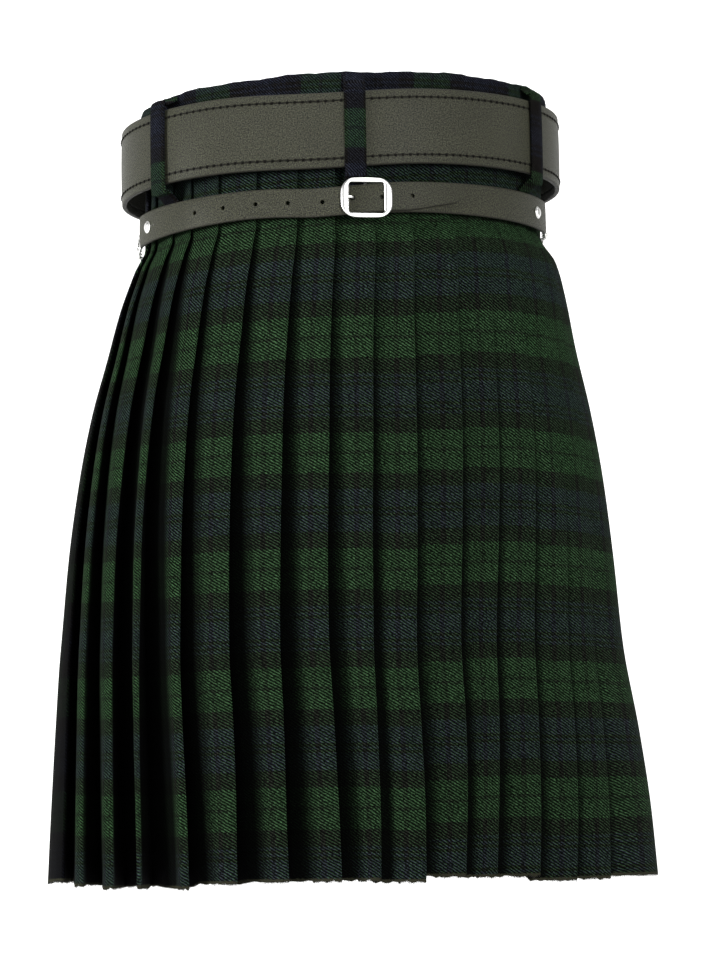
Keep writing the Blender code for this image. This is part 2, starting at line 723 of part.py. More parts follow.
def ring_at(name, frame, radius):
    """A round wire ring lying flat on the frame's plane."""
    bm = bmesh.new()
    rings = []
    for step in range(RING_STEPS):
        spin = Matrix.Rotation(2 * math.pi * step / RING_STEPS, 4, "Z")
        ring = []
        for corner in range(RING_SIDES):
            turn = 2 * math.pi * corner / RING_SIDES
            section = Vector((math.cos(turn), 0.0, math.sin(turn))) * RING_WIRE
            section.x += radius
            ring.append(bm.verts.new(frame @ spin @ section))
        rings.append(ring)
    for first, second in zip(rings, rings[1:] + rings[:1]):
        for corner in range(RING_SIDES):
            nearby = (corner + 1) % RING_SIDES
            bm.faces.new((first[corner], first[nearby], second[nearby], second[corner]))
    return add_object(name, bm, SILVER)


def chain_frame(angle, depth):
    """A frame on the chain's line, which lies on the pleats at the sides, then on the apron."""
    out = blend(CHAIN_OUT_SIDE, CHAIN_OUT_FRONT, ease(*CHAIN_ON_APRON, abs(angle)))
    return frame_on(body_ellipse(depth), angle, out, depth)


def chain_depth(angle):
    """The chain's depth below the top edge: lower in front than at the strap's ends."""
    front = 0.5 - 0.5 * math.cos(math.radians(angle))
    return STRAP_DEPTH + CHAIN_DROP + CHAIN_SAG * ease(0.45, 1.0, front)


def chain(name, start, end):
    """The solid outline of one run of chain, lying along the kilt."""
    points = []
    for angle in spaced(start, end, CHAIN_STEP):
        depth = chain_depth(angle)
        points.append(chain_frame(angle, depth) @ Vector((0.0, 0.0, 0.0)))
    return add_object(name, tube_mesh(points, CHAIN_RADIUS, 6), SILVER)


def narrow_strap():
    """The narrow strap with its buckle, rivets, end rings and front chain."""
    strap_left()
    strap_right()
    drop = BUCKLE_LEVEL + STRAP_LEATHER / 2
    bar_buckle("strap_buckle", strap_frame(BUCKLE_ANGLE, BUCKLE_LEVEL), BUCKLE_WIDTH,
               BUCKLE_HEIGHT, drop)
    strap_prong()
    head = STRAP_LEATHER / 2 + SEAM_GAP
    rivet("rivet_left", strap_frame(STRAP_LEFT_END + RIVET_INSETS["left"], head))
    rivet("rivet_right", strap_frame(STRAP_RIGHT_END - RIVET_INSETS["right"], head))
    reach = RING_RADIUS + RING_WIRE + SEAM_GAP
    half_width, half_depth, shift = strap_ellipse()
    strap_line = (half_width + STRAP_OUT, half_depth + STRAP_OUT, shift)
    for side, end, sign in (("left", STRAP_LEFT_END, -1), ("right", STRAP_RIGHT_END, 1)):
        away = reach * degrees_per_metre(strap_line, end)
        ring_angle = end + sign * away
        lowered = strap_frame(ring_angle) @ Matrix.Translation((0.0, -RING_DROP, 0.0))
        ring_at("ring_" + side, lowered, RING_RADIUS)
        chain_start = ring_angle + sign * (away + CHAIN_GAP)
        clasp_room = (CLASP_RADIUS + RING_WIRE + SEAM_GAP) * degrees_per_metre(
            body_ellipse(chain_depth(180.0)), 180.0)
        chain("chain_" + side, chain_start, sign * (180.0 - clasp_room))
    ring_at("chain_clasp", chain_frame(180.0, chain_depth(180.0)), CLASP_RADIUS)


def on_body(depth, angle):
    """A point on the body's curve at a depth and an angle."""
    place = on_ellipse(body_ellipse(depth), angle, 0.0)
    return Vector((*place, height_at(depth, place.x)))


def hip_fastening():
    """The strap that closes the over-apron, and its buckle on the right hip."""
    out = OVER_APRON_LIFT + CLOTH / 2 + SEAM_GAP + HIP_LEATHER / 2 + HIP_WAVE_ROOM
    angles = spaced(HIP_STRAP_TIP, HIP_STRAP_FROM, HIP_STRAP_STEP)
    rings = []
    for level in (-0.5, 0.5):
        depth = HIP_DEPTH + level * HIP_STRAP_HEIGHT
        line = [on_ellipse(body_ellipse(depth), angle, out) for angle in angles]
        rings.append([[(*point, height_at(depth, point[0])) for point in side]
                      for side in mitred_sides(line, HIP_LEATHER)])
    add_object("hip_strap", wall_mesh(rings), BLACK_LEATHER)
    up = (on_body(HIP_DEPTH - HIP_STRAP_HEIGHT / 2, HIP_BUCKLE_ANGLE)
          - on_body(HIP_DEPTH + HIP_STRAP_HEIGHT / 2, HIP_BUCKLE_ANGLE)).normalized()
    flat = frame_on(body_ellipse(HIP_DEPTH), HIP_BUCKLE_ANGLE, 0.0, HIP_DEPTH)
    along = flat.to_3x3().col[0]
    outward = along.cross(up).normalized()
    turn = Matrix((along, up, outward)).transposed().to_4x4()
    level = out + HIP_LEATHER / 2 + SEAM_GAP * 3 + BUCKLE_METAL / 2
    place = on_body(HIP_DEPTH, HIP_BUCKLE_ANGLE)
    frame = Matrix.Translation(place + outward * level) @ turn
    bar_buckle("hip_buckle", frame, HIP_BUCKLE_WIDTH, HIP_BUCKLE_HEIGHT,
               level - CLOTH / 2 - SEAM_GAP)


def clear_scene():
    for thing in list(bpy.data.objects):
        bpy.data.objects.remove(thing, do_unlink=True)


def main():
    clear_scene()
    cloth_wall("over_apron", over_apron_path)
    cloth_wall("pleats_left", pleats_path(0, SPLIT_PLEAT))
    cloth_wall("pleats_right", pleats_path(SPLIT_PLEAT, LAST_PLEAT))
    cloth_wall("under_apron", under_apron_path)
    waistband()
    wide_belt()
    belt_plate()
    for side, angle in LOOP_ANGLES.items():
        belt_loop(side, angle)
    narrow_strap()
    hip_fastening()


main()
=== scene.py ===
"""Looks of a Scottish kilt: pleated wool tartan, two leather belts and bright metal.

Metres, +Z up. The origin is the middle of the waist opening, level with the top edge.
The back of the kilt faces -Y. An angle counts in degrees from the middle of the back,
positive towards +X, and a depth counts down from the top edge.
"""

import math

import bmesh
import bpy
import numpy as np
from bpy.props import FloatProperty, FloatVectorProperty, IntProperty, PointerProperty
from mathutils import Matrix, Vector


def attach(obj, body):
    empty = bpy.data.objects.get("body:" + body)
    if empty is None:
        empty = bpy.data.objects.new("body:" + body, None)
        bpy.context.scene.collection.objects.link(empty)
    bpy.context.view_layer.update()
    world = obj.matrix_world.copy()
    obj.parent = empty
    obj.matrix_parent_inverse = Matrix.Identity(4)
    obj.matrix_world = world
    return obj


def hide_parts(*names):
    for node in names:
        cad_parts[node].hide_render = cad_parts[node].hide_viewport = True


bl_info = {
    "name": "Scottish Kilt Looks",
    "version": (1, 0, 0),
    "blender": (4, 5, 0),
    "location": "View3D > Sidebar > Kilt",
    "description": "Dresses the solids of a Scottish kilt in tartan, leather and metal",
    "category": "Object",
}

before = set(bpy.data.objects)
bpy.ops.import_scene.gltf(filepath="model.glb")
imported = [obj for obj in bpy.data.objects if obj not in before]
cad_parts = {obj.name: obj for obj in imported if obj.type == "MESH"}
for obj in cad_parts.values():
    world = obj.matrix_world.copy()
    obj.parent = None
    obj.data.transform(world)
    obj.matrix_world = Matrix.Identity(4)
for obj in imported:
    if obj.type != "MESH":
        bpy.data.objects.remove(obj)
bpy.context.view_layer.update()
PHOTO_WIDTH = 706
PHOTO_HEIGHT = 966

# The kilt's form, as its solids have it
KILT_LENGTH = 0.61
CLOTH = 0.0011
SEAM_GAP = 0.0003
LAYER_STEP = CLOTH + 2 * SEAM_GAP
STITCHED_DOWN_TO = 0.110
WAIST_TILT = 0.034
TILT_FADES_BY = 0.330

# The body's curve at each depth. Columns: depth, half width, half depth front to back,
# and the middle's shift along X.
BODY = (
    (0.000, 0.1572, 0.1170, 0.0030),
    (0.050, 0.1560, 0.1175, 0.0018),
    (0.110, 0.1550, 0.1180, 0.0000),
    (0.130, 0.1650, 0.1225, 0.0010),
    (0.160, 0.1740, 0.1290, -0.0008),
    (0.200, 0.1825, 0.1340, -0.0028),
    (0.250, 0.1942, 0.1400, -0.0042),
    (0.300, 0.2027, 0.1450, -0.0050),
    (0.360, 0.2098, 0.1500, -0.0062),
    (0.430, 0.2157, 0.1545, -0.0068),
    (0.500, 0.2235, 0.1590, -0.0038),
    (0.560, 0.2288, 0.1620, -0.0018),
    (0.610, 0.2318, 0.1645, -0.0012),
)

# The knife pleats. Columns: angle of the folded edge at the waist, and at the hem; how
# far beyond it the next face starts at the hem; and in millimetres how deep the valley
# is there, how far the edge stands out there, how much lower the pleat hangs, how much
# the face bulges, and how much lower than the others its tartan lies.
PLEATS = (
    (-80.6, -70.0, 2.0, 10.0, 5.0, -2.0, 0.0, 0.0),
    (-72.9, -61.9, 4.6, 24.0, 5.0, 1.5, 2.0, 0.0),
    (-61.3, -52.2, 4.6, 27.0, 5.0, 3.5, 2.4, 0.0),
    (-52.4, -44.4, 5.6, 27.0, 6.0, 3.0, 2.0, 0.0),
    (-41.6, -34.1, 3.2, 25.0, 5.0, 4.0, 2.2, 0.0),
    (-29.0, -24.3, 3.6, 25.0, 5.0, 1.0, 1.8, 0.0),
    (-16.9, -14.9, 2.9, 22.0, 4.5, 0.0, 1.6, 0.0),
    (-6.5, -5.8, 2.6, 18.0, 4.2, 0.0, 1.5, 0.0),
    (4.2, 1.5, 0.3, 4.0, 3.6, 0.0, 1.2, 0.0),
    (14.5, 9.4, 0.3, 6.0, 5.0, 1.5, 1.0, 0.0),
    (27.0, 17.0, 0.3, 4.0, 3.8, -2.0, 1.2, -2.0),
    (38.1, 23.3, 0.3, 4.0, 3.6, -1.0, 1.0, -5.5),
    (49.5, 32.1, 0.3, 5.0, 4.2, -1.0, 1.4, -6.5),
    (61.1, 41.6, 0.3, 5.0, 4.2, 2.5, 1.2, -7.5),
    (71.0, 51.7, 0.3, 6.0, 5.0, 2.0, 1.4, -7.5),
    (83.0, 77.0, 0.5, 9.0, 9.0, 0.5, 1.6, -7.0),
)
LAST_PLEAT = len(PLEATS) - 1

# How far the start of each pleat's face sinks into the valley at the hem, in millimetres
FACE_SINKS = (0.0, 3.0, 4.0, 14.0, 9.5, 4.6, 5.0, 4.4, 2.8, 2.2, 1.9, 1.7, 1.7, 1.8, 1.8, 1.8)
FACE_SINK_ENDS = 0.85

# The share of a valley's depth from which its cloth is painted in full shade, how much light
# that painted shade leaves, how much of it the cloth before the first pleat is painted with,
# and where that comes in, by angle and depth
HOLLOW_LIMIT = 0.30
HOLLOW_LIGHT = 0.06
HIP_PAINTED_SHADE = 0.22
HIP_PAINTED_SHADE_FROM = (-98.0, -85.0)
HIP_PAINTED_SHADE_FULL = 0.17

# How the pleats are laid. The cloth is split in the valley behind this pleat.
SPLIT_PLEAT = 7
WAIST_LIFT = 0.0036
WAIST_VALLEY = 0.0021
WAIST_MOUTH = 0.15
UNDERLAP_SHARE = 0.55
UNDERLAP_MAX = 6.2
FOLD_TURN_SHARE = 0.08
BEFORE_FIRST_PLEAT = 9.0
EDGE_WOBBLE = 0.16

# How the folded edges, the mouths and the valleys open with depth, as powers
EDGE_GROWTH = 0.9
MOUTH_GROWTH = 0.6
VALLEY_GROWTH = 0.75

# How the cloth is divided into a mesh
ROW_STEP = 0.0095
FACE_SHARES = (0.24, 0.34, 0.45, 0.56, 0.65, 0.73, 0.80, 0.86, 0.92)
STRIPE_SHARE = 0.56
CORNER_FROM = 0.45
CORNER_TO = 0.18
APRON_COLUMN = 2.0
UNDER_APRON_COLUMNS = 74
BELT_COLUMN = 1.5
HIPS_END = 0.16
LAST_ROWS_UP = (0.003, 0.0012)
ROUND_STEPS = 36

# How far round the cloth of a stretch starts after the one before it ends
STRETCH_SHIFT = 0.10

# Which column of the over-apron and of the waistband lies on the middle of a stripe
OVER_APRON_STRIPE = 33
BAND_STRIPE = 116

# The aprons
OVER_APRON_EDGE = -232.0
OVER_APRON_HIP = -100.0
OVER_APRON_LIFT = 0.0019
OVER_APRON_EASE = (-130.0, -103.0)
UNDER_APRON_EDGE = 236.0
UNDER_APRON_START = 7.0
APRON_WAVE = 0.0045
APRON_WAVES = 9.0
APRON_WAVE_FROM = (95.0, 130.0)
APRON_WAVE_TO = (230.0, 265.0)

# Soft creases. Columns: angle and depth of the middle, length along the crease, lean in
# degrees from upright, width across, and how far it stands out, in metres.
CREASES = (
    (-66.0, 0.300, 0.190, 4.0, 0.0065, 0.0011),
    (-57.0, 0.460, 0.170, -3.0, 0.0060, -0.0010),
    (-48.5, 0.350, 0.210, 2.0, 0.0070, 0.0012),
    (-38.0, 0.520, 0.150, 3.0, 0.0065, -0.0011),
    (-30.0, 0.240, 0.140, -5.0, 0.0080, 0.0010),
    (-20.0, 0.420, 0.220, 2.0, 0.0075, 0.0012),
    (-10.0, 0.560, 0.120, -4.0, 0.0060, -0.0009),
    (-2.0, 0.270, 0.160, 3.0, 0.0085, 0.0009),
    (5.5, 0.480, 0.200, -2.0, 0.0070, 0.0010),
    (13.5, 0.330, 0.180, 4.0, 0.0075, -0.0009),
    (20.5, 0.540, 0.140, -3.0, 0.0060, 0.0010),
    (28.5, 0.230, 0.150, 6.0, 0.0090, 0.0011),
    (37.0, 0.420, 0.230, -2.0, 0.0080, -0.0010),
    (47.0, 0.300, 0.170, 5.0, 0.0085, 0.0012),
    (57.0, 0.500, 0.190, -5.0, 0.0100, 0.0014),
    (66.0, 0.380, 0.240, 3.0, 0.0110, -0.0013),
    (98.0, 0.330, 0.260, -4.0, 0.0160, 0.0016),
    (112.0, 0.470, 0.200, 3.0, 0.0140, -0.0014),
    (133.0, 0.400, 0.300, 2.0, 0.0180, 0.0018),
    (152.0, 0.260, 0.160, -7.0, 0.0150, 0.0014),
    (168.0, 0.500, 0.210, 4.0, 0.0170, -0.0016),
    (187.0, 0.360, 0.280, -3.0, 0.0190, 0.0017),
    (206.0, 0.520, 0.170, 5.0, 0.0150, 0.0013),
    (222.0, 0.300, 0.220, -2.0, 0.0160, -0.0014),
    (243.0, 0.430, 0.250, 4.0, 0.0170, 0.0016),
)

# The waistband and the loops
BAND_HEIGHT = 0.040
BAND_ROW = 0.004
BAND_END = 126.2
BAND_END_GAP = 0.4
BAND_RISE = (-112.0, -100.0)
BAND_FALL = (93.0, 103.0)
BAND_ON_APRON = OVER_APRON_LIFT + LAYER_STEP
BAND_ON_PLEATS = WAIST_LIFT + LAYER_STEP
BAND_ON_UNDER = LAYER_STEP
LOOP_WIDTH = 0.0165
LOOP_CLOTH = 0.0013
LOOP_ANGLES = {"left": -60.1, "centre": -1.5, "right": 57.4}
LOOP_TOP = 0.0015
LOOP_BOTTOM = 0.0980
LOOP_FOOT_CLEAR = 0.0004

# The wide belt and its plate
BELT_ELLIPSE = (0.1738, 0.1268, 0.0)
BELT_LEATHER = 0.0036
BELT_TOP = 0.0135
BELT_HEIGHT = 0.0585
BELT_JOIN = 179.8
STITCH_SINK = 0.00025
STITCH_CROWN = 0.00045
STITCH_HOLE_REACH = 0.00085
GROOVE_REACH = 0.00060
BURNISH_REACH = 0.0014
PLATE_WIDTH = 0.086
PLATE_HEIGHT = 0.066
PLATE_METAL = 0.0030
PLATE_CORNER = 0.010

# The line that a loop takes. Columns: which end a point belongs to, how far it stands out
# from there, how far it lies below, and its share of the way out to the belt's face.
LOOP_ROUTE = (
    ("top", 0.0000, 0.0000, 0.0),
    ("top", 0.0004, 0.0030, 0.0),
    ("top", 0.0000, -0.0042, 0.75),
    ("top", 0.0000, -0.0010, 1.0),
    ("foot", 0.0000, 0.0010, 1.0),
    ("foot", 0.0000, 0.0052, 0.72),
    ("foot", 0.0009, -0.0148, 0.0),
    ("foot", 0.0001, -0.0110, 0.0),
    ("foot", 0.0000, 0.0000, 0.0),
)

# How much the belt and the strap sag a little left of the middle of the back
SAG = 0.0035
SAG_ANGLE = -8.5
BELT_SAG_REACH = 20.0
STRAP_SAG_REACH = 14.0

# The narrow strap, its buckle and its rivets. Each part is wider at its riveted end.
STRAP_DEPTH = 0.0985
STRAP_LEFT_HEIGHTS = (0.0252, 0.0222)
STRAP_LEFT_NARROWS = (-82.0, -25.0)
STRAP_RIGHT_HEIGHTS = (0.0234, 0.0258)
STRAP_RIGHT_WIDENS = (2.0, 72.0)
STRAP_LEATHER = 0.0026
STRAP_HEIGHT = 0.0222
STRAP_OUT = 0.0088
STRAP_LEFT_END = -79.5
STRAP_RIGHT_END = 74.5
STRAP_TAIL_END = 30.7
TAIL_TIP = 5.2
TAIL_NARROWS = (12.0, 30.0)
TAIL_TAPER = 0.30
TAIL_LIFTS = (-16.0, -8.0)
UPPER_LAYER = STRAP_LEATHER + SEAM_GAP
BUCKLE_ANGLE = 2.1
BUCKLE_WIDTH = 0.0395
BUCKLE_HEIGHT = 0.0310
BUCKLE_METAL = 0.0028
BUCKLE_LEVEL = UPPER_LAYER + STRAP_LEATHER / 2 + SEAM_GAP + BUCKLE_METAL / 2
BAR_ROOM = 0.0022
PRONG_HOLE_REACH = 0.0103
HOLE_ANGLES = (-48.0, -38.1, -28.1, -18.9, -9.5, 6.2, 14.6)
HOLE_RADIUS = 0.0017
PRONG_HOLE_RADIUS = 0.0019
RIVET_RADIUS = 0.0047
RIVET_HEIGHT = 0.0022
RIVET_INSETS = {"left": 7.8, "right": 9.6}

# The rings and the chain
RING_RADIUS = 0.0062
RING_WIRE = 0.0011
RING_DROP = 0.008
CHAIN_OUT_SIDE = 0.0074
CHAIN_OUT_FRONT = 0.0066
CHAIN_ON_APRON = (100.0, 125.0)
CHAIN_GAP = 0.6
CHAIN_DROP = 0.010
CHAIN_SAG = 0.020
CLASP_RADIUS = 0.0075

# The strap and buckle on the right hip
HIP_DEPTH = 0.150
HIP_STRAP_HEIGHT = 0.022
HIP_LEATHER = 0.0022
HIP_WAVE_ROOM = 0.00054
HIP_STRAP_FROM = 140.0
HIP_STRAP_TIP = 108.0
HIP_BUCKLE_ANGLE = 113.0
HIP_BUCKLE_WIDTH = 0.030
HIP_BUCKLE_HEIGHT = 0.034

# The half sett of the tartan: each stripe's colour and its number of threads. The order
# runs back again after the last one.
SETT = (
    ("blue", 12), ("black", 4), ("blue", 4), ("black", 4), ("blue", 4), ("black", 21),
    ("green", 24), ("line", 4), ("green", 24), ("black", 21), ("blue", 22), ("black", 4),
    ("blue", 2),
)
HALF_SETT = sum(count for _, count in SETT)
GREEN_MIDDLE = HALF_SETT / 2
FIRST_GREEN_BAND = 0.1215
GREEN_THREADS = 52
LINE_SHARE = 0.30
RAW_EDGE_BLEND = 0.0006
FOLD_WEAR_AND_HIGHLIGHT_REACH = 0.0013
WARP_ON_TOP = 0.30
THREADS_PER_RIB = 4.0
TWILL_SWAY = 0.85
TOP_TARTAN_LIFT = 0.0042
TOP_TARTAN_ENDS = (0.150, 0.235)

# Which part of the sett the waistband is cut from: along it, and down it
BAND_PLACE = 0.0298
WEFT_OF_BAND = 0.0222

# The wear-and-highlight map's value for cloth that lies far from a folded edge and from the hem
FAR_FROM_FOLD_AND_HEM = (0.02, 0.3)

# Where each loop is cut from the sett: across it, and down it
LOOP_SETT = {"left": (0.0345, 0.0415), "centre": (0.0338, 0.0715), "right": (0.0242, 0.0300)}

# The camera, as the photograph has it
CAMERA_AZIMUTH = -5.5
CAMERA_DISTANCE = 2.2
CAMERA_HEIGHT = -0.58
CAMERA_PITCH = 7.24
CAMERA_AIM = 0.143
CAMERA_ROLL = 0.9
FOCAL_PIXELS = 2800.0
SENSOR = 36.0


def length_property(name, default, low, high, description):
    return FloatProperty(name=name, description=description, default=default, min=low, max=high,
                         precision=6, unit="LENGTH")


def colour_property(name, default, description):
    return FloatVectorProperty(name=name, description=description, default=default, size=3,
                               min=0.0, max=1.0, subtype="COLOR")


def power_property(name, default, description):
    return FloatProperty(name=name, description=description, default=default, min=0.0,
                         max=2000.0, unit="POWER")


class ClothSettings(bpy.types.PropertyGroup):
    """Sizes and colours of the tartan cloth"""

    thread_width: length_property(
        "Thread width", 0.000582, 0.0002, 0.002, "Width that one thread of the tartan takes")
    twill_depth: length_property(
        "Twill depth", 0.00022, 0.0, 0.001, "Height of the twill's diagonal ribs")
    green: colour_property("Green", (0.0112, 0.0246, 0.0106), "Colour of the green wool")
    blue: colour_property("Blue", (0.0082, 0.0092, 0.0142), "Colour of the navy wool")
    black: colour_property("Black", (0.0046, 0.0041, 0.0038), "Colour of the black wool")
    raw_edge: colour_property(
        "Raw edge", (0.022, 0.022, 0.014), "Colour of the raw hem's loose fibres")
    raw_edge_height: length_property(
        "Raw edge height", 0.0022, 0.0, 0.02, "How far up the hem's fibres are loose")
    fuzz_length: length_property(
        "Fuzz length", 0.0019, 0.0, 0.01, "Length of the loose fibres under the hem")
    fuzz_pitch: length_property(
        "Fuzz pitch", 0.00045, 0.0001, 0.01, "Distance between loose fibres along the hem")
    fuzz_spread: length_property(
        "Fuzz spread", 0.0004, 0.0, 0.01, "How far a fibre stands from the hem's middle line")


class LeatherSettings(bpy.types.PropertyGroup):
    """Sizes and colours of the leather"""

    colour: colour_property(
        "Leather", (0.0385, 0.0395, 0.0240), "Colour of the leather's face")
    edge_colour: colour_property(
        "Edge", (0.0160, 0.0155, 0.0110), "Colour of the burnished edge")
    grain: length_property(
        "Grain", 0.0011, 0.0002, 0.01, "Size of one cell of the leather's grain")
    stitch_inset: length_property(
        "Stitch inset", 0.0068, 0.001, 0.02, "Distance from the belt's edge to its stitches")
    stitch_pitch: length_property(
        "Stitch pitch", 0.0058, 0.001, 0.02, "Distance from one stitch to the next")
    stitch_length: length_property(
        "Stitch length", 0.0044, 0.001, 0.02, "Length of one stitch")
    stitch_width: length_property(
        "Stitch width", 0.0008, 0.0002, 0.005, "Thickness of the thread")
    stitch_knot: length_property(
        "Stitch knot", 0.00115, 0.0002, 0.005, "Radius of the dot where the thread goes through")


class MetalSettings(bpy.types.PropertyGroup):
    """Sizes and colours of the metal"""

    colour: colour_property("Silver", (0.86, 0.86, 0.84), "Colour of the plated metal")
    link_length: length_property(
        "Link length", 0.0066, 0.002, 0.03, "Outer length of one chain link")
    link_width: length_property(
        "Link width", 0.0047, 0.002, 0.03, "Outer width of one chain link")
    link_wire: length_property(
        "Link wire", 0.0011, 0.0003, 0.01, "Thickness of a link's wire")


class StageSettings(bpy.types.PropertyGroup):
    """Floor, light and seeds"""

    floor_drop: length_property(
        "Floor drop", 0.48, 0.0, 3.0, "Distance from the hem down to the floor")
    paper: colour_property(
        "Backdrop", (0.90, 0.90, 0.895), "Colour of the floor and the backdrop")
    glow: FloatProperty(
        name="Backdrop glow", description="How much the lit backdrop shines by itself",
        default=0.70, min=0.0, max=10.0)
    key_power: power_property("Key light", 96.0, "Power of the light from the right")
    fill_power: power_property("Fill light", 140.0, "Power of the light from the left")
    top_power: power_property("Top light", 45.0, "Power of the light from above")
    sky: FloatProperty(
        name="Ambient light", description="Strength of the pale light from all round",
        default=0.34, min=0.0, max=10.0)
    seed: IntProperty(
        name="Seed", description="Seed of what is uneven in the fibres", default=7, min=0)


def blend(start, end, share):
    return start + (end - start) * share


def ease(low, high, value):
    """A smooth step from 0 at low to 1 at high, for a number or an array."""
    part = np.clip((value - low) / (high - low), 0.0, 1.0)
    return part * part * (3 - 2 * part)


def spaced(start, end, step):
    """Evenly spaced values from start to end, about one step apart."""
    count = max(1, round(abs(end - start) / step))
    return [blend(start, end, index / count) for index in range(count + 1)]


def smooth_column(column, depth):
    """Read one column of BODY at a depth, on a smooth curve through its rows."""
    depths = np.array([row[0] for row in BODY])
    values = np.array([row[column] for row in BODY])
    rises = np.diff(values) / np.diff(depths)
    steady = rises[1:] * rises[:-1] > 0
    inner = np.zeros(len(rises) - 1)
    np.divide(2 * rises[1:] * rises[:-1], rises[1:] + rises[:-1], out=inner, where=steady)
    slopes = np.concatenate((rises[:1], inner, rises[-1:]))
    low = int(np.clip(np.searchsorted(depths, depth) - 1, 0, len(depths) - 2))
    span = depths[low + 1] - depths[low]
    part = min(max((depth - depths[low]) / span, 0.0), 1.0)
    start = values[low] * (1 + 2 * part) * (1 - part) ** 2
    end = values[low + 1] * part**2 * (3 - 2 * part)
    leave = slopes[low] * span * part * (1 - part) ** 2
    arrive = slopes[low + 1] * span * part**2 * (part - 1)
    return float(start + end + leave + arrive)


def body_ellipse(depth):
    """Half width, half depth and shift of the body's curve at a depth."""
    return smooth_column(1, depth), smooth_column(2, depth), smooth_column(3, depth)


def on_ellipse(ellipse, angles, outs):
    """Points at angles from the middle of the back, moved out along the normals."""
    half_width, half_depth, shift = ellipse
    turns = np.radians(np.asarray(angles, dtype=float))
    points = np.stack([half_width * np.sin(turns) + shift, -half_depth * np.cos(turns)], axis=-1)
    normals = np.stack([half_depth * np.sin(turns), -half_width * np.cos(turns)], axis=-1)
    normals /= np.linalg.norm(normals, axis=-1, keepdims=True)
    return points + normals * np.asarray(outs, dtype=float)[..., None]


def degrees_per_metre(ellipse, angle):
    """How many degrees of the angle one metre along the ellipse takes."""
    turn = math.radians(angle)
    along = math.hypot(ellipse[0] * math.cos(turn), ellipse[1] * math.sin(turn))
    return math.degrees(1.0 / along)


def height_at(depth, across):
    """The height of a place on the kilt, from its depth and how far along X it is."""
    return WAIST_TILT * (1.0 - ease(STITCHED_DOWN_TO, TILT_FADES_BY, depth)) * across - depth


def opening(depth):
    """How far down the free part of the pleats a depth lies, from 0 to 1."""
    return max(0.0, (depth - STITCHED_DOWN_TO) / (KILT_LENGTH - STITCHED_DOWN_TO))


def point_on(ellipse, angle, out, depth):
    """A point at a depth, moved out from an ellipse."""
    flat = on_ellipse(ellipse, [angle], [out])[0]
    return Vector((flat[0], flat[1], float(height_at(depth, flat[0]))))


def cloth_point(depth, angle, out=0.0):
    """A point on the body's curve, moved out from it."""
    return point_on(body_ellipse(depth), angle, out, depth)


def frame_on(ellipse, angle, out, depth):
    """A frame on a band: X along it, Y up and Z straight out from the body."""
    before, place, after = (Vector(point) for point in on_ellipse(
        ellipse, [angle - 0.5, angle, angle + 0.5], [out] * 3))
    along = Vector((*(after - before).normalized(), 0.0))
    up = Vector((0.0, 0.0, 1.0))
    turn = Matrix((along, up, along.cross(up))).transposed().to_4x4()
    return Matrix.Translation((*place, float(height_at(depth, place.x)))) @ turn


def sag(angle, reach):
    """How much lower a band hangs at an angle than an even line would."""
    return SAG * math.exp(-((angle - SAG_ANGLE) / reach) ** 2)


def strap_frame(angle, level=0.0):
    """A frame on the narrow strap, at a level out from the middle of its lower layer."""
    depth = STRAP_DEPTH + sag(angle, STRAP_SAG_REACH)
    return frame_on(body_ellipse(STRAP_DEPTH), angle, STRAP_OUT + level, depth)


class Socket:
    """A shader value; arithmetic on it adds Math nodes to its material."""

    def __init__(self, finish, link):
        self.finish = finish
        self.link = link

    def math(self, operation, *values):
        return self.finish.math(operation, *values)

    def __add__(self, other):
        return self.math("ADD", self, other)

    def __radd__(self, other):
        return self.math("ADD", other, self)

    def __sub__(self, other):
        return self.math("SUBTRACT", self, other)

    def __rsub__(self, other):
        return self.math("SUBTRACT", other, self)

    def __mul__(self, other):
        return self.math("MULTIPLY", self, other)

    def __rmul__(self, other):
        return self.math("MULTIPLY", other, self)

    def __truediv__(self, other):
        return self.math("DIVIDE", self, other)

    def __pow__(self, other):
        return self.math("POWER", self, other)

    def __abs__(self):
        return self.math("ABSOLUTE", self)

    def fraction(self):
        return self.math("FRACT", self)

    def pingpong(self, scale):
        return self.math("PINGPONG", self, scale)

    def limited_low(self):
        """The value kept from falling below 0."""
        return self.math("MAXIMUM", self, 0.0)

    def limited(self):
        """The value held between 0 and 1."""
        return self.math("MINIMUM", self.limited_low(), 1.0)


class Nodes:
    """A tree of nodes, with the one way to add any node to it."""

    def node(self, kind, settings=None, inputs=None):
        """Add a node: its settings first, then the values or links of its sockets."""
        made = self.tree.nodes.new(kind)
        for label, value in (settings or {}).items():
            if label == "stops":
                self.set_stops(made.color_ramp, value)
            else:
                setattr(made, label, value)
        for label, value in (inputs or {}).items():
            self.feed(made.inputs[label], value)
        return made

    def feed(self, socket, value):
        link = value.link if isinstance(value, Socket) else value
        if isinstance(link, bpy.types.NodeSocket):
            self.tree.links.new(link, socket)
        else:
            socket.default_value = value

    def set_stops(self, ramp, stops):
        """Give a colour ramp its stops, each colour even up to the next."""
        ramp.interpolation = "CONSTANT"
        while len(ramp.elements) < len(stops):
            ramp.elements.new(1.0)
        for element, (place, colour) in zip(ramp.elements, stops):
            element.position = place
            element.color = colour


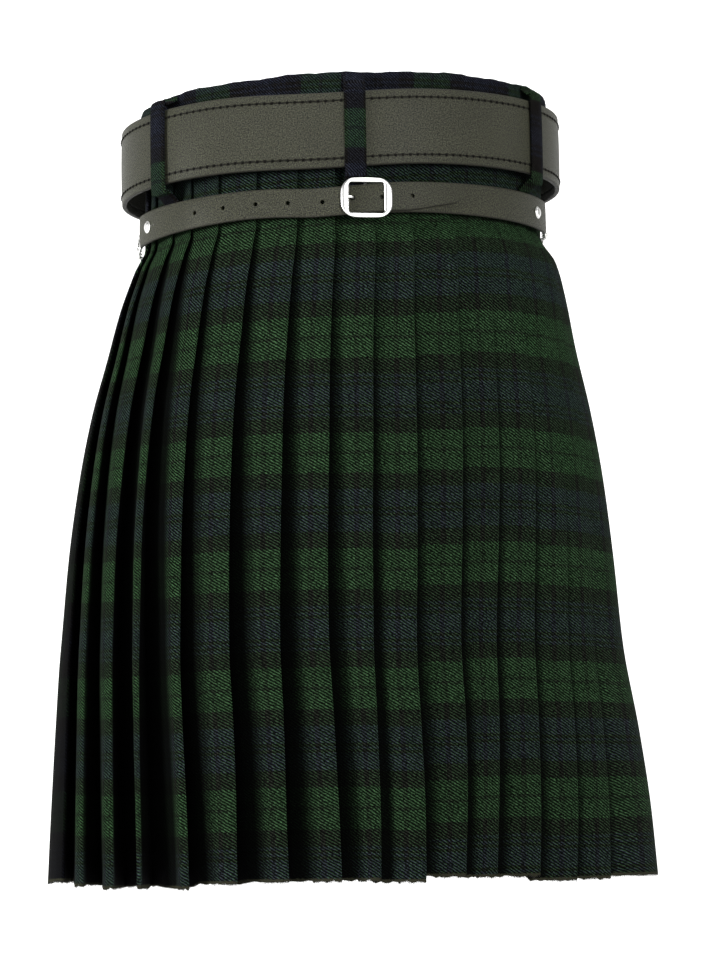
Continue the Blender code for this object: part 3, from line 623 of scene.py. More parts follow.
class Finish(Nodes):
    """One material: its tree, its Principled shader and the values it is made of."""

    def __init__(self, name, **constants):
        self.material = bpy.data.materials.new(name)
        self.material.use_nodes = True
        self.tree = self.material.node_tree
        self.shader = self.tree.nodes["Principled BSDF"]
        for label, value in constants.items():
            self.shader.inputs[label.replace("_", " ")].default_value = value

    def value(self, kind, settings=None, inputs=None, output=0):
        """Add a node and take one of its outputs."""
        return Socket(self, self.node(kind, settings, inputs).outputs[output])

    def math(self, operation, *values):
        return self.value("ShaderNodeMath", {"operation": operation}, dict(enumerate(values)))

    def mix(self, factor, first, second):
        return self.value("ShaderNodeMix", {"data_type": "RGBA"},
                          {0: factor, 6: first, 7: second}, 2)

    def scaled(self, colour, factor):
        """A colour made lighter or darker by a factor."""
        start = colour if isinstance(colour, Socket) else colour[:3]
        return self.value("ShaderNodeVectorMath", {"operation": "SCALE"},
                          {0: start, "Scale": factor})

    def ramp(self, factor, stops):
        return self.value("ShaderNodeValToRGB", {"stops": stops}, {0: factor})

    def uv(self, name):
        """The two values of one of the piece's own maps."""
        place = self.value("ShaderNodeUVMap", {"uv_map": name})
        parts = self.node("ShaderNodeSeparateXYZ", inputs={0: place})
        return Socket(self, parts.outputs[0]), Socket(self, parts.outputs[1])

    def vector(self, x, y, z=0.0):
        return self.value("ShaderNodeCombineXYZ", inputs={0: x, 1: y, 2: z})

    def object_place(self):
        return self.value("ShaderNodeTexCoord", output="Object")

    def noise(self, vector, scale, detail=2.0, roughness=0.5):
        return self.value("ShaderNodeTexNoise", inputs={
            "Vector": vector, "Scale": scale, "Detail": detail, "Roughness": roughness})

    def cell_edges(self, vector, scale):
        """How far a place lies from the edge of its cell."""
        return self.value("ShaderNodeTexVoronoi", {"feature": "DISTANCE_TO_EDGE"},
                          {"Vector": vector, "Scale": scale}, "Distance")

    def colour(self, value):
        self.feed(self.shader.inputs["Base Color"], value)

    def roughness(self, value):
        self.feed(self.shader.inputs["Roughness"], value)

    def bump(self, height, distance):
        bumped = self.value("ShaderNodeBump", inputs={"Height": height, "Distance": distance})
        self.feed(self.shader.inputs["Normal"], bumped)


def made_once(build):
    """Make a material at its first use, and find it by its name after that."""
    def found(name=build.__name__, *values):
        return bpy.data.materials.get(name) or build(name, *values)
    return found


def opaque(colour):
    return (colour[0], colour[1], colour[2], 1.0)


def sett_stops(cloth):
    """The stops of a colour ramp that holds the half sett."""
    line = [blend(dark, bright, LINE_SHARE) for dark, bright in zip(cloth.black, cloth.green)]
    colours = {"green": cloth.green, "blue": cloth.blue, "black": cloth.black, "line": line}
    stops = []
    threads = 0
    for name, count in SETT:
        stops.append((threads / HALF_SETT, opaque(colours[name])))
        threads += count
    return stops


@made_once
def tartan_wool(name):
    """Twill wool whose warp and weft both run through the sett."""
    cloth = bpy.context.scene.kilt_cloth
    finish = Finish(name, Roughness=0.92, Specular_IOR_Level=0.03)
    across, down = finish.uv("cloth")
    fold, above_hem = finish.uv("wear")
    hollow, _ = finish.uv("hollow")
    warp_threads = across / cloth.thread_width + GREEN_MIDDLE
    weft_threads = (down - FIRST_GREEN_BAND) / cloth.thread_width + GREEN_MIDDLE
    stops = sett_stops(cloth)
    warp = finish.ramp(warp_threads.pingpong(HALF_SETT) / HALF_SETT, stops)
    weft = finish.ramp(weft_threads.pingpong(HALF_SETT) / HALF_SETT, stops)
    place = finish.vector(across, down)
    sway = finish.noise(place, 300.0, 2.0, 0.7) - 0.5
    diagonal = (warp_threads - weft_threads) / THREADS_PER_RIB + sway * TWILL_SWAY
    rib = diagonal.pingpong(0.5) * 2.0
    over = ((rib - 0.5) * 2.0 + WARP_ON_TOP).limited()
    woven = finish.mix(over, weft, warp)
    ridge = (diagonal + 0.25).pingpong(0.5) * 2.0
    grit = finish.noise(place, 850.0, 2.0, 0.75)
    fibre = finish.noise(finish.vector(across * 0.35, down), 2600.0, 2.0, 0.7)
    patchy = finish.noise(place, 55.0, 3.0, 0.6)
    # Painted shade in the valleys between the twill's ribs, times fibre tone that differs at random
    shade = (0.01 + 3.10 * ridge ** 2.3) * (1.0 + 6.0 * (grit - 0.5)).limited_low()
    shade = shade * (0.50 + 1.00 * fibre) * (0.72 + 0.56 * patchy)
    # Painted highlight along with real wear: cloth near a folded edge is made lighter
    fold_wear_and_highlight = (1.0 - fold / FOLD_WEAR_AND_HIGHLIGHT_REACH).limited()
    # Painted shade: cloth that lies deep in a fold, or before the first pleat, is darkened
    in_light = (1.0 - hollow / HOLLOW_LIMIT).limited()
    shade = shade * (1.0 + 0.60 * fold_wear_and_highlight) * (
        HOLLOW_LIGHT + (1.0 - HOLLOW_LIGHT) * in_light * in_light)
    woven = finish.scaled(woven, shade)
    loose = finish.noise(place, 900.0, 2.0)
    raw = ((cloth.raw_edge_height * (0.4 + 1.2 * loose) - above_hem) / RAW_EDGE_BLEND).limited()
    finish.colour(finish.mix(raw, woven, opaque(cloth.raw_edge)))
    finish.bump(rib * 0.35 + ridge * 0.65 + fibre * 0.35, cloth.twill_depth)
    return finish.material


@made_once
def wool_fibre(name):
    """Loose fibres of the raw hem."""
    cloth = bpy.context.scene.kilt_cloth
    finish = Finish(name, Roughness=0.95)
    tint = finish.noise(finish.object_place(), 340.0, 2.0)
    dark = opaque([value * 0.35 for value in cloth.raw_edge])
    finish.colour(finish.mix(tint, dark, opaque(cloth.raw_edge)))
    return finish.material


@made_once
def leather(name, height, pitch=None):
    """Smooth grained leather: burnished at its edges, with painted shade in the groove and holes of
    any stitches.
    """
    settings = bpy.context.scene.kilt_leather
    finish = Finish(name, Specular_IOR_Level=0.20, Coat_Roughness=0.30, Coat_Weight=0.02)
    along, up = finish.uv("leather")
    place = finish.vector(along, up)
    cells = finish.cell_edges(place, 1.0 / settings.grain)
    pebble = (cells * 6.0).limited()
    grit = finish.noise(place, 950.0, 2.0, 0.75)
    fine = finish.noise(place, 2400.0, 3.0, 0.65)
    cloudy = finish.noise(place, 38.0, 4.0, 0.6)
    from_edge = height / 2 - abs(up)
    burnish = (1.0 - from_edge / BURNISH_REACH).limited()
    grain = 0.62 + 0.32 * pebble + 6.0 * (grit - 0.5) + 0.80 * (fine - 0.5)
    face = finish.scaled(opaque(settings.colour), grain * (0.72 + 0.56 * cloudy))
    tone = finish.mix(burnish, face, opaque(settings.edge_colour))
    relief = pebble * 0.4 + grit * 1.6 + fine * 0.5
    roughness = 0.33 + 0.14 * cloudy + 0.10 * fine + 0.12 * burnish
    if pitch:
        row = height / 2 - settings.stitch_inset
        aside = abs(abs(up) - row)
        groove = (1.8 - aside / GROOVE_REACH).limited()
        phase = ((along / pitch).fraction() - 0.5) * pitch
        hole = (1.9 - (aside * aside + phase * phase) ** 0.5 / STITCH_HOLE_REACH).limited()
        # Painted shade: the stitch groove is darkened and the stitch holes made nearly black
        tone = finish.scaled(tone, (1.0 - 0.50 * groove) * (1.0 - 0.98 * hole))
        relief = relief - groove * 0.8 - hole * 1.2
        roughness = roughness + 0.4 * groove
    finish.colour(tone)
    finish.roughness(roughness)
    finish.bump(relief, 0.00045)
    return finish.material


def belt_frames():
    """Frames along the middle of the wide belt, from one side of its join to the other."""
    middle = BELT_TOP + BELT_HEIGHT / 2
    return [frame_on(BELT_ELLIPSE, angle, 0.0, middle + sag(angle, BELT_SAG_REACH))
            for angle in spaced(-BELT_JOIN, BELT_JOIN, BELT_COLUMN)]


def belt_stitches():
    """How many stitches one row along the belt has, and the exact pitch between them."""
    places = [frame.translation for frame in belt_frames()]
    length = sum((after - before).length for before, after in zip(places, places[1:]))
    count = round(length / bpy.context.scene.kilt_leather.stitch_pitch)
    return count, length / (count - 1)


def belt_leather():
    return leather("black_belt_leather", BELT_HEIGHT, belt_stitches()[1])


def strap_leather():
    return leather("black_strap_leather", STRAP_HEIGHT)


@made_once
def waxed_thread(name):
    """Dark waxed thread of the belt's stitches."""
    finish = Finish(name, Roughness=0.85, Specular_IOR_Level=0.05)
    ply = finish.noise(finish.object_place(), 1800.0, 2.0)
    finish.colour(finish.mix(ply, (0.002, 0.002, 0.002, 1.0), (0.012, 0.011, 0.009, 1.0)))
    finish.bump(ply, 0.0002)
    return finish.material


@made_once
def bright_silver(name):
    """Plated metal, polished, with faint scratches."""
    metal = bpy.context.scene.kilt_metal
    finish = Finish(name, Metallic=1.0)
    place = finish.object_place()
    haze = finish.noise(place, 90.0, 4.0, 0.6)
    scratches = finish.noise(place, 1400.0, 2.0, 0.7)
    finish.colour(finish.scaled(opaque(metal.colour), 0.90 + 0.14 * haze))
    finish.roughness(0.22 + 0.18 * haze + 0.05 * scratches)
    finish.bump(scratches, 0.00002)
    return finish.material


def studio_paper():
    """The pale seamless floor and backdrop."""
    stage = bpy.context.scene.kilt_stage
    finish = Finish("studio_paper", Roughness=0.95, Specular_IOR_Level=0.1,
                    Emission_Color=opaque(stage.paper), Emission_Strength=stage.glow)
    mottle = finish.noise(finish.object_place(), 3.0, 2.0)
    finish.colour(finish.scaled(opaque(stage.paper), 0.99 + 0.02 * mottle))
    return finish.material


def link_piece(name, mesh, material, nodes=(), smooth=50.0):
    """Put a mesh in the scene as a piece that rides with the kilt."""
    mesh.name = name
    if smooth:
        mesh.shade_smooth()
        mesh.set_sharp_from_angle(angle=math.radians(smooth))
    if material:
        mesh.materials.clear()
        mesh.materials.append(material)
    piece = bpy.data.objects.new(name, mesh)
    bpy.context.scene.collection.objects.link(piece)
    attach(piece, "root")
    if nodes:
        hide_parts(*nodes)
    return piece


def silver_piece(bm, node, smooth=60.0):
    """Finish a bmesh as a piece of plated metal in the place of a node."""
    link_piece(node + "_silver", finished_mesh(bm, node + "_silver"), bright_silver(), [node],
               smooth)


def leather_piece(node, material, places, section, widths=None):
    """Draw a leather piece along places, in the place of a node."""
    mesh = sweep_mesh(node + "_leather", places, section, widths=widths)
    return link_piece(node + "_leather", mesh, material, [node])


def finished_mesh(bm, name):
    """A mesh from a bmesh, with its faces pointing out."""
    bmesh.ops.recalc_face_normals(bm, faces=bm.faces)
    mesh = bpy.data.meshes.new(name)
    bm.to_mesh(mesh)
    bm.free()
    return mesh


def settle(piece):
    """Work a piece's modifiers into a plain mesh."""
    graph = bpy.context.evaluated_depsgraph_get()
    made = bpy.data.meshes.new_from_object(
        piece.evaluated_get(graph), preserve_all_data_layers=True, depsgraph=graph)
    piece.modifiers.clear()
    piece.data = made
    return piece


def mitred_sides(points, thickness):
    """The two sides of a wall drawn along a line of flat points."""
    steps = np.diff(points, axis=0)
    steps /= np.linalg.norm(steps, axis=1)[:, None]
    across = np.stack([-steps[:, 1], steps[:, 0]], axis=1)
    before = np.vstack([across[:1], across])
    after = np.vstack([across, across[-1:]])
    middle = before + after
    middle /= np.linalg.norm(middle, axis=1)[:, None]
    reach = 1.0 / np.maximum(np.sum(middle * after, axis=1), 0.36)
    offset = middle * reach[:, None] * thickness / 2
    return points + offset, points - offset


class ClothLine:
    """A line of cloth at one depth, with the marks that place its tartan."""

    def __init__(self, depth):
        self.depth = depth
        self.ellipse = body_ellipse(depth)
        self.angles = []
        self.outs = []
        self.drops = []
        self.lowered = []
        self.hollows = []
        self.faces = []
        self.edges = []

    def add(self, angle, out, drop=0.0, lowered=0.0, hollow=0.0):
        self.angles.append(angle)
        self.outs.append(out)
        self.drops.append(drop)
        self.lowered.append(lowered)
        self.hollows.append(max(hollow, 0.0))
        return len(self.angles) - 1

    def points(self):
        return on_ellipse(self.ellipse, self.angles, self.outs)

    def lengths(self):
        steps = np.linalg.norm(np.diff(self.points(), axis=0), axis=1)
        return np.concatenate(([0.0], np.cumsum(steps)))

    def across(self):
        """Where each station lies across the cloth; a stripe is held to each face."""
        along = self.lengths()
        places, values = [], []
        thread = bpy.context.scene.kilt_cloth.thread_width
        for start, stripe, edge, value, threads in self.faces:
            drawn_in = min(1.0, threads * thread / (along[stripe] - along[start]))
            for station in (start, edge):
                places.append(along[station])
                values.append(value + (along[station] - along[stripe]) * drawn_in)
        before = np.minimum(along - places[0], 0.0)
        after = np.maximum(along - places[-1], 0.0)
        return np.interp(along, places, values) + before + after

    def fold_distance(self):
        """How far each station lies from the nearest folded edge."""
        along = self.lengths()
        marks = np.array([along[station] for station in self.edges] or [-1.0])
        return np.min(np.abs(along[:, None] - marks[None, :]), axis=1)


def crease_height(angle, depth):
    """How far the soft creases lift the cloth at a place."""
    total = 0.0
    for middle, low, length, lean, width, lift in CREASES:
        away = (angle - middle + 180.0) % 360.0 - 180.0
        if abs(away) > 25.0 or abs(depth - low) > length:
            continue
        half_width, half_depth, _ = body_ellipse(low)
        sideways = math.radians(away) * (half_width + half_depth) / 2
        sideways -= (depth - low) * math.tan(math.radians(lean))
        fade = math.cos(math.pi / 2 * min(abs(depth - low) / length, 1.0)) ** 2
        total += lift * fade * math.exp(-((sideways / width) ** 2))
    return total * float(ease(0.115, 0.170, depth))


def pleat_at(index, depth):
    """Folded edge, next face's start, valley, lift and drop of one pleat at a depth."""
    waist, hem, mouth, valley, lift, drop, _, _ = PLEATS[index]
    free = opening(depth)
    wobble = EDGE_WOBBLE * free * math.sin(17.0 * depth + 2.4 * index)
    wobble += 0.5 * EDGE_WOBBLE * free * math.sin(39.0 * depth + 1.3 * index)
    edge = blend(waist, hem, free**EDGE_GROWTH) + wobble
    face_start = edge + WAIST_MOUTH + mouth * free**MOUTH_GROWTH
    valley_depth = blend(WAIST_VALLEY, valley / 1000, free**VALLEY_GROWTH)
    edge_lift = blend(WAIST_LIFT, lift / 1000, free**VALLEY_GROWTH)
    return edge, face_start, valley_depth, edge_lift, drop / 1000


def inner_fold(index, depth):
    """Angle of the inner fold behind a pleat, its radius and its floor."""
    edge, _, valley, _, _ = pleat_at(index, depth)
    before = pleat_at(index - 1, depth)[0] if index else edge - BEFORE_FIRST_PLEAT
    underlap = min(UNDERLAP_SHARE * (edge - before), UNDERLAP_MAX)
    return edge - underlap, (LAYER_STEP + FOLD_TURN_SHARE * valley) / 2, -valley


def face_sink(index, depth):
    """How far the start of a pleat's face lies below the body's curve."""
    if index > LAST_PLEAT:
        return 0.0
    return FACE_SINKS[index] / 1000 * opening(depth) ** VALLEY_GROWTH


def face_out(index, depth, share):
    """How far out a pleat's face lies at a share of its width, without its creases."""
    sink = face_sink(index, depth) * float(1.0 - ease(0.0, FACE_SINK_ENDS, share))
    return pleat_at(index, depth)[3] * share - sink


def hip_hollow(depth):
    """How much painted shade the cloth before the first pleat gets, as if it lay in that pleat's
    fold.
    """
    return HIP_PAINTED_SHADE * float(ease(STITCHED_DOWN_TO, HIP_PAINTED_SHADE_FULL, depth))


def add_fold(line, index):
    """Go round a folded edge, back under it, and round the inner fold."""
    edge, _, _, lift, drop = pleat_at(index, line.depth)
    lowered = PLEATS[index][7] / 1000
    # The first pleat's fold carries the painted shade of the cloth before it
    shaded = 0.0 if index else hip_hollow(line.depth)
    per_metre = degrees_per_metre(line.ellipse, edge)
    radius = LAYER_STEP / 2
    centre = edge - radius * per_metre
    for turn in range(90, -91, -30):
        angle = centre + radius * per_metre * math.cos(math.radians(turn))
        out = lift - radius + radius * math.sin(math.radians(turn))
        station = line.add(angle, out, drop, lowered, shaded)
        if turn == 0:
            line.edges.append(station)
    inner, bend, floor = inner_fold(index, line.depth)
    reach = bend * per_metre
    under = lift - 2 * radius
    for share in (0.25, 0.5, 0.75):
        out = blend(under, floor + 2 * bend, share)
        line.add(blend(centre, inner + reach, share), out, drop, lowered, (under - out) / -floor)
    for turn in range(90, 271, 36):
        out = floor + bend + bend * math.sin(math.radians(turn))
        line.add(inner + reach + reach * math.cos(math.radians(turn)), out, drop, lowered,
                 out / floor)


def add_rise(line, index, start=0.0, end=1.0):
    """Come up from the inner fold to the next face, round a soft corner."""
    _, face_start, _, _, drop = pleat_at(index, line.depth)
    lowered = PLEATS[index][7] / 1000
    inner, bend, floor = inner_fold(index, line.depth)
    low = (inner + bend * degrees_per_metre(line.ellipse, inner), floor)
    corner = (face_start, -face_sink(index + 1, line.depth))
    if index < LAST_PLEAT:
        edge, _, _, _, next_drop = pleat_at(index + 1, line.depth)
        face = (blend(face_start, edge, CORNER_TO), face_out(index + 1, line.depth, CORNER_TO))
        next_lowered = PLEATS[index + 1][7] / 1000
    else:
        face = (face_start + UNDER_APRON_START * CORNER_TO, 0.0)
        next_drop, next_lowered = drop, lowered
    leave = (blend(low[0], corner[0], CORNER_FROM), blend(low[1], corner[1], CORNER_FROM))
    for share in (0.0, 0.25, 0.5):
        if start <= share <= end:
            out = blend(low[1], leave[1], share * 2)
            line.add(blend(low[0], leave[0], share * 2), out, drop, lowered, out / floor)
    if end < 1.0:
        return
    first = None
    for share in (0.25, 0.5, 0.75, 1.0):
        along = [blend(blend(a, b, share), blend(b, c, share), share)
                 for a, b, c in zip(leave, corner, face)]
        station = line.add(along[0], along[1], next_drop, next_lowered, along[1] / floor)
        first = station if first is None else first
    return first


def add_face(line, index, start):
    """Cross the visible face of a pleat, with its bulge and creases."""
    depth = line.depth
    first = pleat_at(index - 1, depth)[1]
    edge, _, _, _, drop = pleat_at(index, depth)
    floor = inner_fold(index - 1, depth)[2]
    bulge, lowered = PLEATS[index][6] / 1000, PLEATS[index][7] / 1000
    free = opening(depth)
    stripe = None
    for share in FACE_SHARES:
        angle = blend(first, edge, share)
        window = math.sin(math.pi * share)
        flat = face_out(index, depth, share)
        out = flat + bulge * free * window + crease_height(angle, depth) * window
        station = line.add(angle, out, drop, lowered, flat / floor)
        if share == STRIPE_SHARE:
            stripe = station
    line.faces.append((start, stripe, len(line.angles), index * pleat_cloth(), GREEN_THREADS / 2))


def pleat_cloth():
    """How much cloth one pleat takes: the distance between two green stripes."""
    return HALF_SETT * bpy.context.scene.kilt_cloth.thread_width


def pleats_line(first, last):
    """The line of the pleated cloth from inside one fold to inside another."""
    def line_at(depth):
        line = ClothLine(depth)
        start = add_rise(line, first, start=0.5)
        line.angles[0] += STRETCH_SHIFT
        for index in range(first + 1, last + 1):
            add_face(line, index, start)
            add_fold(line, index)
            start = add_rise(line, index, end=1.0 if index < last else 0.5)
        return line
    return line_at


def apron_wave(angle, depth):
    """The soft wave and the creases that the plain aprons hang in."""
    around = angle % 360.0
    fade = ease(*APRON_WAVE_FROM, around) * (1.0 - ease(*APRON_WAVE_TO, around))
    wave = APRON_WAVE * float(fade) * opening(depth) * math.sin(math.radians(APRON_WAVES * around))
    return wave + crease_height(angle, depth)


def over_apron_line(depth):
    line = ClothLine(depth)
    for angle in spaced(OVER_APRON_EDGE, OVER_APRON_HIP, APRON_COLUMN):
        settle_in = 1.0 - float(ease(*OVER_APRON_EASE, angle))
        line.add(angle, OVER_APRON_LIFT * settle_in + apron_wave(angle, depth))
    edge, _, _, lift, drop = pleat_at(0, depth)
    for share in (0.12, 0.25, 0.4, 0.55, 0.7, 0.85):
        angle = blend(OVER_APRON_HIP, edge, share)
        fade = 1.0 - share
        # Painted shade on the cloth before the first pleat, coming in towards that pleat
        line.add(angle, lift * share + apron_wave(angle, depth) * fade, drop * share,
                 hollow=hip_hollow(depth) * float(ease(*HIP_PAINTED_SHADE_FROM, angle)))
    line.faces.append((0, OVER_APRON_STRIPE, len(line.angles) - 1, 0.0, math.inf))
    add_fold(line, 0)
    add_rise(line, 0, end=0.5)
    return line


def under_apron_line(depth):
    line = ClothLine(depth)
    start = add_rise(line, LAST_PLEAT, start=0.5)
    line.angles[0] += STRETCH_SHIFT
    first = pleat_at(LAST_PLEAT, depth)[1] + UNDER_APRON_START
    for share in spaced(0.0, 1.0, 1.0 / UNDER_APRON_COLUMNS):
        angle = blend(first, UNDER_APRON_EDGE, share)
        line.add(angle, apron_wave(angle, depth))
    line.faces.append((start, start + 1, len(line.angles) - 1, 0.0, math.inf))
    return line


def hem_unevenness(angle):
    """The small ups and downs of the raw hem."""
    return 0.00055 * (math.sin(angle * 2.9) + 0.7 * math.sin(angle * 7.7 + 1.0)
                      + 0.5 * math.sin(angle * 17.3 + 2.0))


def top_unevenness(angle):
    """The soft ups and downs of the kilt's top edge."""
    return 0.0005 * (math.sin(angle * 0.17 + 0.6) + 0.8 * math.sin(angle * 0.41)
                     + 0.5 * math.sin(angle * 1.13 + 2.0))


def wall_mesh(name, sides, maps):
    """A closed wall from its two sides, each rows by columns of points, with its maps."""
    outer, inner = sides
    rows, columns = outer.shape[:2]
    verts = np.concatenate([outer.reshape(-1, 3), inner.reshape(-1, 3)])
    grid = np.arange(rows * columns).reshape(rows, columns)
    other = grid + rows * columns
    faces = []
    for layer in (grid, other):
        faces.append(np.stack([layer[:-1, :-1], layer[:-1, 1:], layer[1:, 1:], layer[1:, :-1]],
                              axis=-1).reshape(-1, 4))
    for first, second in ((grid[0], other[0]), (grid[-1], other[-1]),
                          (grid[:, 0], other[:, 0]), (grid[:, -1], other[:, -1])):
        faces.append(np.stack([first[:-1], first[1:], second[1:], second[:-1]], axis=-1))
    mesh = bpy.data.meshes.new(name)
    mesh.from_pydata(verts.tolist(), [], np.concatenate(faces).tolist())
    bm = bmesh.new()
    bm.from_mesh(mesh)
    bmesh.ops.recalc_face_normals(bm, faces=bm.faces)
    bm.to_mesh(mesh)
    bm.free()
    corners = np.empty(len(mesh.loops), dtype=np.int32)
    mesh.loops.foreach_get("vertex_index", corners)
    for label, values in maps.items():
        outside = values.reshape(-1, 2)
        flat = np.concatenate([outside, outside * (label != "hollow")])
        layer = mesh.uv_layers.new(name=label)
        layer.data.foreach_set("uv", flat[corners].astype(np.float32).ravel())
    return mesh


def cloth_piece(node, line_at, depths):
    """A thin shell of tartan through the lines at each depth. Gives the line of its hem."""
    outer, inner, cloth_map, wear_and_highlight_map, hollow_map = [], [], [], [], []
    for depth in depths:
        line = line_at(depth)
        flat = line.points()
        drops = np.array(line.drops) * depth / KILT_LENGTH
        if depth == 0.0:
            drops = drops + [top_unevenness(angle) for angle in line.angles]
        if depth == KILT_LENGTH:
            drops = drops + [hem_unevenness(angle) for angle in line.angles]
        sides = mitred_sides(flat, CLOTH)
        for kept, side in zip((inner, outer), sides):
            kept.append(np.column_stack([side, height_at(depth, side[:, 0]) - drops]))
        lift = TOP_TARTAN_LIFT * (1.0 - ease(*TOP_TARTAN_ENDS, depth))
        cloth_map.append(np.column_stack([line.across(), depth + lift - np.array(line.lowered)]))
        wear_and_highlight_map.append(np.column_stack([line.fold_distance(),
                                         np.full(len(flat), KILT_LENGTH - depth)]))
        hollow_map.append(np.column_stack([line.hollows, np.zeros(len(flat))]))
        line.lengths()[-1]
        hem = np.column_stack([flat, height_at(depth, flat[:, 0]) - drops])
    name = node + "_cloth"
    mesh = wall_mesh(name, (np.array(outer), np.array(inner)),
                     {"cloth": np.array(cloth_map), "wear": np.array(wear_and_highlight_map),
                      "hollow": np.array(hollow_map)})
    piece = link_piece(name, mesh, tartan_wool(), [node])
    round(depths[-1] - depths[0], 3)
    return hem


def cloth_depths():
    """The depths of the mesh's rows, closer together over the hips."""
    upper = spaced(0.0, STITCHED_DOWN_TO, ROW_STEP)
    hips = spaced(STITCHED_DOWN_TO, HIPS_END, ROW_STEP / 2)
    lower = spaced(HIPS_END, KILT_LENGTH - LAST_ROWS_UP[0], ROW_STEP)
    return upper + hips[1:] + lower[1:] + [KILT_LENGTH - LAST_ROWS_UP[1], KILT_LENGTH]


class Repeat(Nodes):
    """A geometry node tree that repeats one small shape along a path of edges."""

    def __init__(self, name, inputs):
        self.tree = bpy.data.node_groups.new(name, "GeometryNodeTree")
        self.names = {}
        for way in ("INPUT", "OUTPUT"):
            self.tree.interface.new_socket("Geometry", in_out=way,
                                           socket_type="NodeSocketGeometry")
        for label, kind in inputs.items():
            made = self.tree.interface.new_socket(label, in_out="INPUT", socket_type=kind)
            self.names[label] = made.identifier
        self.group = self.tree.nodes.new("NodeGroupInput")

    def given(self, label):
        return self.group.outputs[label]

    def math(self, operation, *values):
        made = self.node("ShaderNodeMath", {"operation": operation}, dict(enumerate(values)))
        return made.outputs[0]

    def vector(self, x, y, z):
        return self.node("ShaderNodeCombineXYZ", inputs={0: x, 1: y, 2: z}).outputs[0]

    def points(self, counted=False):
        """Points along the path, one pitch apart or a number of them, turned to follow it."""
        path = self.node("GeometryNodeMeshToCurve", inputs={"Mesh": self.given("Geometry")})
        if counted:
            return self.node("GeometryNodeCurveToPoints", {"mode": "COUNT"},
                             {"Curve": path.outputs[0], "Count": self.given("Count")})
        return self.node("GeometryNodeCurveToPoints", {"mode": "LENGTH"},
                         {"Curve": path.outputs[0], "Length": self.given("Pitch")})

    def end(self, instances):
        """Make the instances real, give them their material and end the tree."""
        real = self.node("GeometryNodeRealizeInstances", inputs={"Geometry": instances})
        dressed = self.node("GeometryNodeSetMaterial", inputs={
            "Geometry": real.outputs[0], "Material": self.given("Material")})
        out = self.tree.nodes.new("NodeGroupOutput")
        self.tree.links.new(dressed.outputs[0], out.inputs[0])

    def run(self, name, path, values, slot):
        """Use the tree on a path of points, and give the result as a plain piece."""
        edges = [(step, step + 1) for step in range(len(path) - 1)]
        mesh = bpy.data.meshes.new(name)
        mesh.from_pydata([tuple(point) for point in path], edges, [])
        piece = link_piece(name, mesh, None, smooth=None)
        step = piece.modifiers.new("Repeat", "NODES")
        step.node_group = self.tree
        for label, value in values.items():
            step[self.names[label]] = value
        settle(piece)
        piece.data.shade_smooth()
        return piece


def stitch_tree():
    """Stitches: rounded threads lying along the path, with a dark knot between each two."""
    tree = Repeat("stitches", {"Count": "NodeSocketInt", "Pitch": "NodeSocketFloat",
                               "Length": "NodeSocketFloat", "Width": "NodeSocketFloat",
                               "Knot": "NodeSocketFloat", "Material": "NodeSocketMaterial"})
    half_width = tree.math("MULTIPLY", tree.given("Width"), 0.5)
    half_length = tree.math("MULTIPLY", tree.given("Length"), 0.5)
    ball = tree.node("GeometryNodeMeshUVSphere", inputs={"Segments": 8, "Rings": 6, "Radius": 1.0})
    thread = tree.node("GeometryNodeTransform", inputs={
        "Geometry": ball.outputs[0], "Scale": tree.vector(half_width, half_width, half_length)})
    knot = tree.given("Knot")
    half_pitch = tree.math("MULTIPLY", tree.given("Pitch"), 0.5)
    pulled_in = tree.node("GeometryNodeTransform", inputs={
        "Geometry": ball.outputs[0], "Scale": tree.vector(knot, knot, knot),
        "Translation": tree.vector(0.0, 0.0, half_pitch)})
    stitch = tree.node("GeometryNodeJoinGeometry", inputs={0: thread.outputs[0]})
    tree.tree.links.new(pulled_in.outputs[0], stitch.inputs[0])
    points = tree.points(counted=True)
    placed = tree.node("GeometryNodeInstanceOnPoints", inputs={
        "Points": points.outputs[0], "Instance": stitch.outputs[0],
        "Rotation": points.outputs["Rotation"]})
    tree.end(placed.outputs[0])
    return tree


def chain_tree():
    """Chain: oval wire links, each turned a quarter from the one before."""
    tree = Repeat("chain_links", {"Pitch": "NodeSocketFloat", "Length": "NodeSocketFloat",
                                  "Width": "NodeSocketFloat", "Wire": "NodeSocketFloat",
                                  "Material": "NodeSocketMaterial"})
    radius = tree.math("MULTIPLY", tree.given("Wire"), 0.5)
    half_width = tree.math("SUBTRACT", tree.math("MULTIPLY", tree.given("Width"), 0.5), radius)
    half_length = tree.math("SUBTRACT", tree.math("MULTIPLY", tree.given("Length"), 0.5), radius)
    circle = tree.node("GeometryNodeCurvePrimitiveCircle", inputs={"Resolution": 16, "Radius": 1.0})
    oval = tree.node("GeometryNodeTransform", inputs={
        "Geometry": circle.outputs[0], "Scale": tree.vector(half_width, half_length, 1.0)})
    upright = tree.node("GeometryNodeTransform", inputs={
        "Geometry": oval.outputs[0], "Rotation": (math.pi / 2, 0.0, 0.0)})
    wire = tree.node("GeometryNodeCurvePrimitiveCircle", inputs={"Resolution": 8, "Radius": radius})
    link = tree.node("GeometryNodeCurveToMesh", inputs={
        "Curve": upright.outputs[0], "Profile Curve": wire.outputs[0]})
    points = tree.points()
    index = tree.node("GeometryNodeInputIndex")
    quarter = tree.math("MULTIPLY", tree.math("MODULO", index.outputs[0], 2.0), math.pi / 2)
    spin = tree.node("FunctionNodeEulerToRotation", inputs={0: tree.vector(0.0, 0.0, quarter)})
    turned = tree.node("FunctionNodeRotateRotation", {"rotation_space": "LOCAL"}, {
        "Rotation": points.outputs["Rotation"], "Rotate By": spin.outputs[0]})
    placed = tree.node("GeometryNodeInstanceOnPoints", inputs={
        "Points": points.outputs[0], "Instance": link.outputs[0], "Rotation": turned.outputs[0]})
    tree.end(placed.outputs[0])
    return tree


